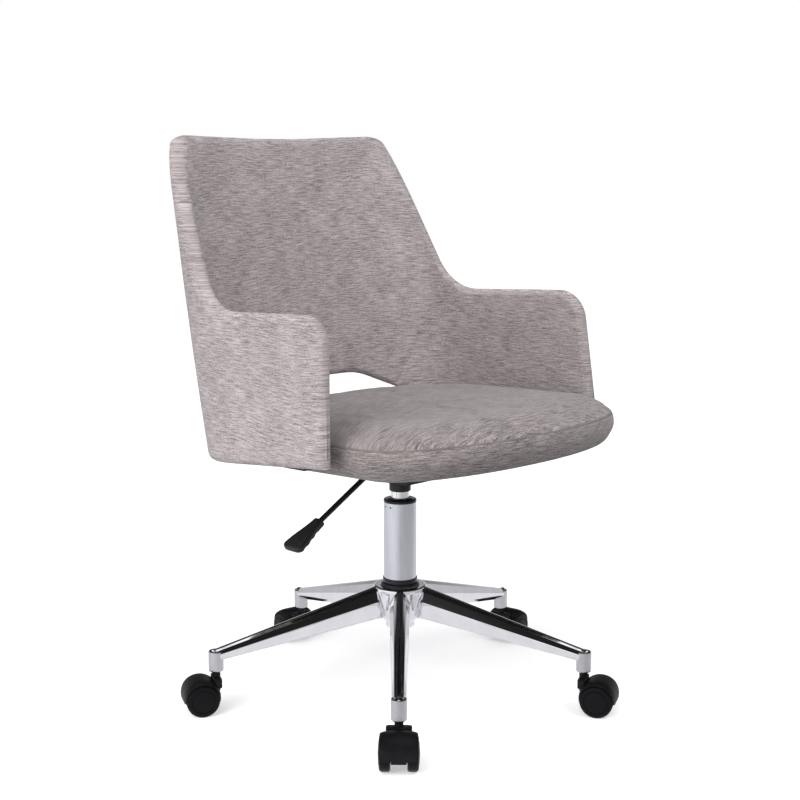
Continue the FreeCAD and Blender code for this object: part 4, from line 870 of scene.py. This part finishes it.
def inflate(piece, pressure, frames, cap):
    """Cloth under inner pressure, with the underside held; no point moves further than the cap."""
    mesh = piece.data
    count = len(mesh.vertices)
    rest = np.zeros(count * 3)
    mesh.vertices.foreach_get("co", rest)
    level, seam_near = np.zeros(count), np.zeros(count)
    mesh.attributes["level"].data.foreach_get("value", level)
    mesh.attributes["seam"].data.foreach_get("value", seam_near)
    held = piece.vertex_groups.new(name="held")
    held.add(np.flatnonzero(level < 0.0125).tolist(), 1.0, "REPLACE")
    held.add(np.flatnonzero(seam_near < 0.0005).tolist(), 0.9, "REPLACE")
    cloth_sim = piece.modifiers.new("inflate", "CLOTH")
    settings = cloth_sim.settings
    settings.quality = 6
    settings.mass = 0.2
    settings.tension_stiffness = 18
    settings.compression_stiffness = 18
    settings.bending_stiffness = 2.0
    settings.use_pressure = True
    settings.uniform_pressure_force = pressure
    settings.effector_weights.gravity = 0
    settings.vertex_group_mass = "held"
    cloth_sim.point_cache.frame_end = frames
    for frame_number in range(1, frames + 1):
        bpy.context.scene.frame_set(frame_number)
    swollen = piece.evaluated_get(bpy.context.evaluated_depsgraph_get())
    moved = np.zeros(count * 3)
    swollen.data.vertices.foreach_get("co", moved)
    shift = (moved - rest).reshape(-1, 3)
    size = np.linalg.norm(shift, axis=1, keepdims=True)
    shift *= np.minimum(1, cap / np.maximum(size, 1e-9))
    piece.modifiers.remove(cloth_sim)
    bpy.context.scene.frame_set(1)
    mesh.vertices.foreach_set("co", (rest.reshape(-1, 3) + shift).ravel())
    mesh.update()
    print("inflated, largest and mean shift in mm:", *(1000 * np.array([size.max(), size.mean()])).round(2))


inflate(cushion, 3.0, 20, 0.006)
subdivided = cushion.modifiers.new("smooth", "SUBSURF")
subdivided.levels = 1
subdivided.render_levels = 1
dress(cushion, seat_cloth, "seat", "seat_fabric", "seat_cushion")


# %% [markdown]
# ## The arms of the base
# Each arm is pressed from sheet and chromed: a slim box that narrows and falls from the hub to the castor, with
# a rounded ridge on top and a crease half way down each side. The bends of pressed sheet are never sharp, so
# every crease is a small round. The section is one closed loop, outside and inside of the sheet, carried from
# the hub to the tip, where it closes round the castor's socket.

# %% Arm section and arm
ARM_START, ARM_END = 0.030, 0.288
ARM_TOP, ARM_LOW = (0.173, 0.096), (0.124, 0.079)
HUB_HALF, SOCKET_RADIUS = 0.01575, 0.0105
FIRST_ARM = 8.9


def arm_section(radius, shrink):
    """Half widths and heights round one section at a distance from the middle, drawn in by a depth."""
    share = (radius - ARM_START) / (ARM_END - ARM_START)
    top = ARM_TOP[0] + share * (ARM_TOP[1] - ARM_TOP[0]) - shrink
    low = ARM_LOW[0] + share * (ARM_LOW[1] - ARM_LOW[0]) + (0.0006 if shrink == 0 else -0.0002)
    half = HUB_HALF + share * (SOCKET_RADIUS - HUB_HALF) - shrink
    height = top - low
    corners = [(half * 0.84, low), (half, low + height * 0.55), (half * 0.62, top - height * 0.13),
               (half * 0.28, top - height * 0.015), (0.0, top)]
    sizes = [0, 0.0035, 0.0022, 0.004, 0]
    return rounded_line(corners, sizes, count=6)


def arm_points():
    """Rings from the hub to the tip: outside down both sides, then back along the inside of the sheet."""
    rings = []
    plain = np.concatenate([[0.036], np.linspace(0.042, ARM_END, 26)])
    tip = ARM_END + SOCKET_RADIUS * np.sin(np.linspace(0, math.pi / 2, 9)[1:])
    for radius in np.concatenate([plain, tip]):
        outer = arm_section(min(radius, ARM_END), 0.0)
        past = max(radius - ARM_END, 0.0)
        narrow = math.sqrt(max(SOCKET_RADIUS ** 2 - past ** 2, 1e-8)) / SOCKET_RADIUS
        rounding = 0.0022 * (1 - math.sqrt(max(0.0, 1 - (past / SOCKET_RADIUS) ** 4)))
        outer = outer * np.array([narrow, 1]) - np.array([0, rounding]) * (outer[:, 1:2] > 0.09)
        ceiling = ARM_END - 0.0135
        inner = arm_section(min(radius, ceiling), 0.003)
        if radius > ceiling:
            height = np.full(len(inner), outer[0, 1] + 0.0004)
            inner = np.column_stack([inner[:, 0] * narrow * 0.9, height])
        left = outer[::-1][1:] * np.array([-1, 1])
        inside_left = inner * np.array([-1, 1])
        inside_right = inner[::-1][1:]
        loop = np.concatenate([outer, left, inside_left, inside_right])
        reach = np.full(len(loop), radius)
        if radius < 0.04:
            reach = 0.0305 + 0.0085 * smooth_step((loop[:, 1] - 0.125) / 0.04)
        rings.append(np.column_stack([reach, loop]))
    return np.array(rings)


def end_caps(rings, loop):
    """Quads across a folded loop, whose second half runs back along the first, at both ends of a sweep."""
    caps = []
    for start in (0, (rings - 1) * loop):
        end = start + loop - 1
        caps += [[start + k, start + k + 1, end - 1 - k, end - k] for k in range(loop // 2 - 1)]
    return caps


ARM = arm_points()
for i in range(5):
    piece = new_piece(f"pressed_arm_{i + 1}", turned_about(ARM, FIRST_ARM + 72 * i),
                      grid_quads(len(ARM), ARM.shape[1], False, True).tolist() + end_caps(*ARM.shape[:2]),
                      merge=1e-5)
    dress(piece, base_chrome, "base", "base_chrome", f"base_arm_{i + 1}")


# %% [markdown]
# ## The hub
# The hub is cast: a waisted drum with a flared rim, a deep scoop between each pair of arms, and a lip that
# rises above each scoop. Its outer radius depends on the direction and the height, so the whole casting is one
# function: the turned profile, less a scoop whose depth fades out at its top and bottom.

# %% Hub
def hub_points(segments=360):
    """Radius = turned profile, drawn in by a smooth scoop half way between two arms."""
    outside = rounded_line([(0.0185, 0.105), (0.0215, 0.105), (0.0215, 0.112), (0.032, 0.125), (0.0405, 0.164),
                            (0.0405, 0.171), (0.030, 0.171)], [0, 0.0012, 0.003, 0.006, 0.004, 0.0022, 0], 10)
    outside = resampled(outside, 0.0010)
    inside = np.array([(0.030, 0.1712), (0.030, 0.1676), (0.02505, 0.1675), (0.02405, 0.121), (0.02405, 0.1205),
                       (0.0185, 0.1205), (0.0185, 0.105)])
    angle = np.linspace(0, 2 * math.pi, segments, endpoint=False)[:, None]
    from_gap = (angle - math.radians(FIRST_ARM + 36) + math.pi / 5) % (2 * math.pi / 5) - math.pi / 5
    radius, height = outside[:, 0], outside[:, 1]
    centre, scoop = 0.047, 0.0125
    across = np.clip(centre * np.sin(np.abs(from_gap)), 0, scoop)
    wall = centre * np.cos(from_gap) - np.sqrt(scoop ** 2 - across ** 2)
    reach = smooth_step((height - 0.127) / 0.006) * (1 - smooth_step((height - 0.1605) / 0.006))
    side = smooth_step((scoop - centre * np.sin(np.abs(from_gap))) / 0.0025)
    cut = np.clip(radius - wall, 0, None) * reach * side
    body = radius - cut
    outer = np.stack([body * np.cos(angle), body * np.sin(angle), height + 0 * angle], -1)
    bore = np.stack([inside[:, 0] * np.cos(angle), inside[:, 0] * np.sin(angle), inside[:, 1] + 0 * angle], -1)
    points = np.concatenate([outer, bore], 1)
    return points, grid_quads(segments, points.shape[1], True, True)


hub = new_piece("cast_hub", *hub_points(), merge=1e-5)
dress(hub, base_chrome, "base", "base_chrome", "base_hub")


# %% [markdown]
# ## Turned pieces of the column
# The black guide bush shows as a ring on top of the column: a polished rounded edge and a raised lip round the
# pressure tube. The collar at the column's foot and the socket that grips the tube's top are turned as well,
# and so are the five sleeves that hold the castor stems; a profile carried round an axis makes each of them.

# %% Rings, collar, socket and sleeves
bush_profile = rounded_line([(0.02235, 0.250), (0.02235, 0.3012), (0.0252, 0.3012), (0.0252, 0.3056),
                             (0.0190, 0.3060), (0.0180, 0.3074), (0.0146, 0.3074), (0.01410, 0.3045),
                             (0.01410, 0.250)],
                            [0, 0, 0.0003, 0.0019, 0.0006, 0.0009, 0.0012, 0.0008, 0], 12)
bush = new_piece("guide_ring", *turned(bush_profile))
dress(bush, collar_plastic, "base", "black_plastic", "column_guide_bush")
collar_profile = rounded_line([(0.02508, 0.1676), (0.0290, 0.1676), (0.0290, 0.1745), (0.0266, 0.1765),
                               (0.0264, 0.1830), (0.02508, 0.1830)], [0, 0.0005, 0.0012, 0.0008, 0.0010, 0], 12)
collar = new_piece("foot_collar", *turned(collar_profile))
dress(collar, collar_plastic, "base", "collar_plastic", "column_collar")
grip_profile = rounded_line([(0.0136, 0.348), (0.0140, 0.3180), (0.0160, 0.3180), (0.0165, 0.3194),
                             (0.0165, 0.348)], [0, 0.0002, 0.0008, 0.0006, 0], 12)
grip = new_piece("tube_socket", *turned(grip_profile))
dress(grip, black_paint, "seat", "black_paint", "taper_socket")


def sleeves():
    """One sleeve profile, turned and set under each arm's end."""
    profile = rounded_line([(0.0070, 0.0900), (0.0070, 0.0622), (0.0096, 0.0622), (0.0111, 0.0637),
                            (0.0111, 0.0928), (0.0100, 0.0936), (0.0070, 0.0936), (0.0070, 0.0900)],
                           [0, 0.0004, 0.0004, 0.0008, 0.0006, 0.0004, 0.0004, 0], 15)
    profile = resampled(profile[:-1], 0.0008)
    points, quads = turned(profile, 56)
    points = points + np.array([ARM_END, 0, 0])
    return stack([(turned_about(points, FIRST_ARM + 72 * i), quads) for i in range(5)])


sockets = new_piece("stem_sleeves", *sleeves())
dress(sockets, socket_satin, "base", "socket_satin", "caster_sockets")


# %% [markdown]
# ## Castors
# A twin-wheel castor is a moulded nylon yoke with a wheel on each side of its web. The stem enters a bar across
# the yoke. The yoke's hood is an arch round the axle, fullest over the top and drawn out to thin points at both
# ends. Seen from behind it is barrel
# shaped, so the hood's radius falls away towards its two rims. The wheels are turned, with a shallow ring cut
# into their domed faces.

# %% Hood
AXLE_RADIUS, AXLE_Z = 0.312, 0.025
STEM_RADIUS = ARM_END
HOOD_HALF, HOOD_INNER, HOOD_THICKNESS = 0.0262, 0.02625, 0.0034
BAR_HALF, BAR_EXTRA, WHEEL_CLEARANCE = 0.0063, 0.0118, 0.0272


def along_axle(points, side=1.0):
    """From (ahead, along the axle, up) about the axle to the chair's frame, before the arm's turn."""
    return points * np.array([1, side, 1]) + np.array([AXLE_RADIUS, 0, AXLE_Z])


def hood_arch():
    """Sections across the arch: a rounded outer line and the inner line, thinning towards both ends."""
    turn = np.radians(np.linspace(-8, 186, 67))
    ends = np.minimum(turn - turn[0], turn[-1] - turn) / math.radians(60)
    full = 0.30 + 0.70 * smooth_step(ends) ** 0.7
    across = np.sin(np.linspace(-1, 1, 29) * math.pi / 2)
    half = HOOD_HALF * (0.90 + 0.10 * smooth_step(ends))[:, None]
    y = across[None, :] * half
    inner = HOOD_INNER - 0.0012 * np.abs(across) ** 6 + 0 * full[:, None]
    outer = inner + HOOD_THICKNESS * full[:, None] * (1 - np.abs(across) ** 4 * 0.66)
    radius = np.concatenate([outer, inner[:, ::-1]], 1)
    y = np.concatenate([y, y[:, ::-1]], 1)
    points = np.stack([-radius * np.cos(turn)[:, None], y, radius * np.sin(turn)[:, None]], -1)
    rows, columns = radius.shape
    return points, grid_quads(rows, columns, False, True).tolist() + end_caps(rows, columns)


def disc(radius, half, bevel=0.001, segments=64):
    """A closed disc across the axle."""
    profile = [(0, -half), (radius - bevel, -half), (radius, -half + bevel), (radius, half - bevel),
               (radius - bevel, half), (0, half)]
    points, quads = turned(profile, segments)
    return points[..., [0, 2, 1]], quads


def bridge():
    """The bar across the yoke below the stem: a soft box whose underside follows the wheels' tops."""
    corners = [(0, 0.0400), (BAR_HALF, 0.0400), (BAR_HALF, 0.0538), (0, 0.0538)]
    profile = resampled(rounded_line(corners, [0, 0.001, 0.0018, 0], 15), 0.0009)
    turn = np.linspace(0, 2 * math.pi, 72, endpoint=False)[:, None]
    reach, height = profile[:, 0], profile[:, 1]
    along = reach * np.sign(np.cos(turn)) * np.abs(np.cos(turn)) ** 0.5
    across = (reach + BAR_EXTRA) * np.sign(np.sin(turn)) * np.abs(np.sin(turn)) ** 0.25
    ahead = STEM_RADIUS - AXLE_RADIUS + along
    clear = AXLE_Z + np.sqrt(np.clip(WHEEL_CLEARANCE ** 2 - ahead ** 2, 0, None))
    points = np.stack([STEM_RADIUS + along, across, np.maximum(height + 0 * turn, clear)], -1)
    return points, grid_quads(len(turn), len(profile), True, False)


def yoke():
    """Arch, web, stem boss and bar as closed forms that run into each other."""
    arch, arch_quads = hood_arch()
    web, web_quads = disc(0.0268, 0.0108)
    web[..., 2] = np.maximum(web[..., 2], -0.0065)
    boss_profile = rounded_line([(0.0043, 0.032), (0.0060, 0.032), (0.0062, 0.0616), (0.0043, 0.0616)],
                                [0, 0.0004, 0.0006, 0], 10)
    boss, boss_quads = turned(resampled(boss_profile, 0.001), 56)
    stem_place = np.array([STEM_RADIUS, 0, 0])
    return stack([(along_axle(arch), arch_quads), (along_axle(web), web_quads), (boss + stem_place, boss_quads),
                  bridge()])


def wheel():
    """One wheel: tread with rounded shoulders, a domed face and a shallow ring groove in it."""
    profile = rounded_line([(0.00405, 0.0115), (0.0225, 0.0115), (0.0250, 0.0135), (0.0250, 0.0236),
                            (0.0232, 0.0266), (0.0182, 0.0274), (0.0176, 0.0267), (0.0164, 0.0268),
                            (0.0158, 0.0278), (0.0, 0.0288), (0.0, 0.0235), (0.00405, 0.0235)],
                           [0, 0.0012, 0.0016, 0.0026, 0.003, 0.0003, 0.0003, 0.0003, 0.0004, 0, 0, 0], 15)
    points, quads = turned(profile, 96)
    return points[..., [0, 2, 1]], quads


yoke_points, yoke_faces = yoke()
wheel_points, wheel_faces = wheel()
for i in range(5):
    turn = FIRST_ARM + 72 * i
    hood = new_piece(f"castor_yoke_{i + 1}", turned_about(yoke_points, turn), yoke_faces, merge=1e-6)
    dress(hood, castor_nylon, f"caster_{i + 1}", "caster_plastic", f"caster_hood_{i + 1}")
    for letter, side in (("a", 1.0), ("b", -1.0)):
        place = turned_about(along_axle(wheel_points, side), turn)
        tyre = new_piece(f"castor_wheel_{i + 1}_{letter}", place, wheel_faces)
        dress(tyre, wheel_nylon, f"wheel_{i + 1}_{letter}", "caster_plastic", f"caster_wheel_{i + 1}_{letter}")


# %% [markdown]
# ## The lever's paddle
# The paddle is moulded over the rod: narrow at its root, broad and rounded at its end, with a shallow dish on
# top for the finger and three scallops below. Rings of a rounded box section are carried along the rod, and
# their width, depth and scallops depend on the distance along it.

# %% Paddle
def paddle_points():
    """Sections of a soft box: width from root to end, a dished top and a wavy underside."""
    last = 0.066 - 0.010 * np.cos(np.linspace(0, math.pi / 2, 14)[1:])
    along = np.concatenate([[0, 0.0006, 0.0018], np.linspace(0.004, 0.056, 40), last])
    end_round = np.sqrt(np.clip(1 - (np.clip(along - 0.056, 0, None) / 0.010) ** 2.6, 0, 1))
    start_round = np.sqrt(np.clip(1 - (np.clip(0.0025 - along, 0, None) / 0.0026) ** 2, 0, 1))
    half = 0.0082 + 0.0106 * smooth_step(along / 0.060)
    half = half * (0.45 + 0.55 * end_round) * (0.8 + 0.2 * start_round)
    deep = 0.0060 * (0.25 + 0.75 * end_round) * (0.5 + 0.5 * start_round)
    turn = np.linspace(0, 2 * math.pi, 64, endpoint=False)
    c = np.sign(np.cos(turn)) * np.abs(np.cos(turn)) ** 0.42
    s = np.sign(np.sin(turn)) * np.abs(np.sin(turn)) ** 0.42
    y = half[:, None] * c
    z = deep[:, None] * s
    dish = smooth_step((along - 0.010) / 0.006) * (1 - smooth_step((along - 0.056) / 0.006))
    z = z - 0.0011 * dish[:, None] * smooth_step((0.78 - np.abs(c)) / 0.12) * (s > 0.5)
    scallop = 0.0014 * (0.5 - 0.5 * np.cos(2 * math.pi * (along - 0.014) / 0.015)) * dish
    z = z + scallop[:, None] * (s < -0.5)
    return np.stack([-along[:, None] + 0 * y, y, z], -1)


def set_on_rod(points):
    """Turned down along the rod's slant and moved to the paddle's root."""
    slope = math.atan2(0.3568 - 0.2744, -0.060 + 0.205)
    c, s = math.cos(slope), math.sin(slope)
    x, y, z = points[..., 0], points[..., 1], points[..., 2]
    root = np.array([-0.163, 0, 0.3568 + (-0.163 + 0.060) * math.tan(slope)])
    return np.stack([x * c - z * s, y, x * s + z * c], -1) + root


PADDLE = set_on_rod(paddle_points())
paddle_quads = grid_quads(len(PADDLE), PADDLE.shape[1], False, True).tolist()
paddle_quads += [list(range(64)), list(range(PADDLE[..., 0].size - 64, PADDLE[..., 0].size))]
paddle = new_piece("finger_paddle", PADDLE, paddle_quads)
dress(paddle, black_plastic, "lever", "black_plastic", "lever_paddle")


# %% [markdown]
# ## Light, floor and camera
# A pale floor and a white surround, a broad soft sun and two soft lamps. Chrome looks like chrome only when it
# has both light and dark to mirror, so mirrored rays meet light walls, a black upper room and a bright ceiling,
# and a floor that glows more towards the chair's right-hand side. The lamps don't show in the chrome.

# %% Floor and surround
def floor_piece(half):
    """A square far larger than the chair: white to the eye, mid grey as a bounce, graded in mirrors."""
    corners = [(-half, -half, 0), (half, -half, 0), (half, half, 0), (-half, half, 0)]
    floor = new_piece("floor", corners, [(0, 1, 2, 3)])
    finish = Finish("floor_paint", rough=0.8, Specular_IOR_Level=0.1, Base_Color=(0.9, 0.9, 0.9, 1),
                    Emission_Color=(1, 1, 1, 1), Emission_Strength=0.42)
    white = Value(finish, finish.surface.outputs[0])
    dim = finish.node("ShaderNodeBsdfDiffuse", {}, {"Color": (0.36, 0.36, 0.36, 1)})
    across, along = (finish.node("ShaderNodeSeparateXYZ", {}, {"Vector": finish.place()}, out=axis)
                     for axis in "XY")
    glow = finish.spread(along, -0.75, -0.1, 0.56, 0.9) + finish.spread(across, -0.75, -1.05, 0.0, 0.3)
    tone = finish.node("ShaderNodeCombineColor", {}, {"Red": glow, "Green": glow, "Blue": glow * 1.03})
    graded = finish.node("ShaderNodeBsdfPrincipled", {},
                         {"Base Color": (0, 0, 0, 1), "Emission Color": tone, "Emission Strength": 1.0})
    mixed = dim
    for ray, shader in (("Is Camera Ray", white), ("Is Glossy Ray", graded)):
        chosen = finish.node("ShaderNodeLightPath", out=ray)
        mixed = finish.node("ShaderNodeMixShader", {}, {0: chosen, 1: mixed, 2: shader})
    finish.tree.links.new(mixed.socket, finish.tree.nodes["Material Output"].inputs["Surface"])
    floor.data.materials.append(finish.material)
    return floor


floor = floor_piece(12.0)
surround = bpy.data.worlds.new("surround")
bpy.context.scene.world = surround
surround.use_nodes = True
tree = surround.node_tree
background = tree.nodes["Background"]
background.inputs["Strength"].default_value = 1.0
seen = tree.nodes.new("ShaderNodeLightPath")
where = tree.nodes.new("ShaderNodeTexCoord")
split = tree.nodes.new("ShaderNodeSeparateXYZ")
ramp = tree.nodes.new("ShaderNodeValToRGB")
WALL, DARK, CEILING = (0.70, 0.70, 0.73, 1), (0.02, 0.02, 0.02, 1), (1.5, 1.5, 1.5, 1)
tones = ramp.color_ramp.elements
for tone, position, colour in zip(tones, (0.24, 0.975), (WALL, CEILING)):
    tone.position, tone.color = position, colour
for position in (0.34, 0.92):
    tones.new(position).color = DARK
lit_wall = tree.nodes.new("ShaderNodeMapRange")
lit_wall.interpolation_type = "SMOOTHSTEP"
for socket, value in (("From Min", -0.65), ("From Max", -0.98), ("To Min", 0.85), ("To Max", 2.3)):
    lit_wall.inputs[socket].default_value = value
scaled = tree.nodes.new("ShaderNodeVectorMath")
scaled.operation = "SCALE"
mirrored_rays, choose = (tree.nodes.new("ShaderNodeMix") for _ in range(2))
mirrored_rays.data_type = choose.data_type = "RGBA"
mirrored_rays.inputs[6].default_value = (0.50, 0.50, 0.52, 1)
choose.inputs[7].default_value = (1, 1, 1, 1)
for source, target in ((where.outputs["Generated"], split.inputs[0]),
                       (split.outputs["Z"], ramp.inputs[0]), (split.outputs["X"], lit_wall.inputs["Value"]),
                       (ramp.outputs[0], scaled.inputs[0]), (lit_wall.outputs[0], scaled.inputs["Scale"]),
                       (seen.outputs["Is Glossy Ray"], mirrored_rays.inputs[0]),
                       (scaled.outputs[0], mirrored_rays.inputs[7]),
                       (seen.outputs["Is Camera Ray"], choose.inputs[0]),
                       (mirrored_rays.outputs[2], choose.inputs[6]),
                       (choose.outputs[2], background.inputs["Color"])):
    tree.links.new(source, target)
print("surround made")


# %% Lamps and camera
def lamp(name, place, aim, width, height, power, tint=(1, 1, 1)):
    """A soft rectangular lamp that looks at a point."""
    light = bpy.data.lights.new(name, "AREA")
    light.shape = "RECTANGLE"
    light.size = width
    light.size_y = height
    light.energy = power
    light.color = tint
    made = bpy.data.objects.new(name, light)
    made.location = place
    made.rotation_euler = (Vector(aim) - Vector(place)).to_track_quat("-Z", "Y").to_euler()
    made.visible_glossy = False
    bpy.context.scene.collection.objects.link(made)
    return made


sun = bpy.data.lights.new("broad_sun", "SUN")
sun.energy = 1.35
sun.angle = math.radians(50)
sun_place = bpy.data.objects.new("broad_sun", sun)
sun_place.rotation_euler = Vector((0.75, 0.12, -0.78)).to_track_quat("-Z", "Y").to_euler()
sun_place.visible_glossy = False
bpy.context.scene.collection.objects.link(sun_place)
lamp("lamp_left", (-1.5, -0.1, 0.58), (0, 0, 0.5), 0.8, 0.8, 9)
lamp("lamp_front", (0.2, -1.6, 1.95), (0, 0.2, 0.7), 1.1, 1.1, 18)
view = bpy.data.cameras.new("view")
view.lens = 68.58
view.sensor_width = 36.0
camera = bpy.data.objects.new("view", view)
camera.location = (-1.5973, -1.6084, 0.8295)
camera.rotation_euler = (math.radians(80.67), 0.0, math.radians(-44.80))
bpy.context.scene.collection.objects.link(camera)
bpy.context.scene.camera = camera
bpy.context.scene.view_settings.view_transform = "Standard"
print("camera and lamps placed")
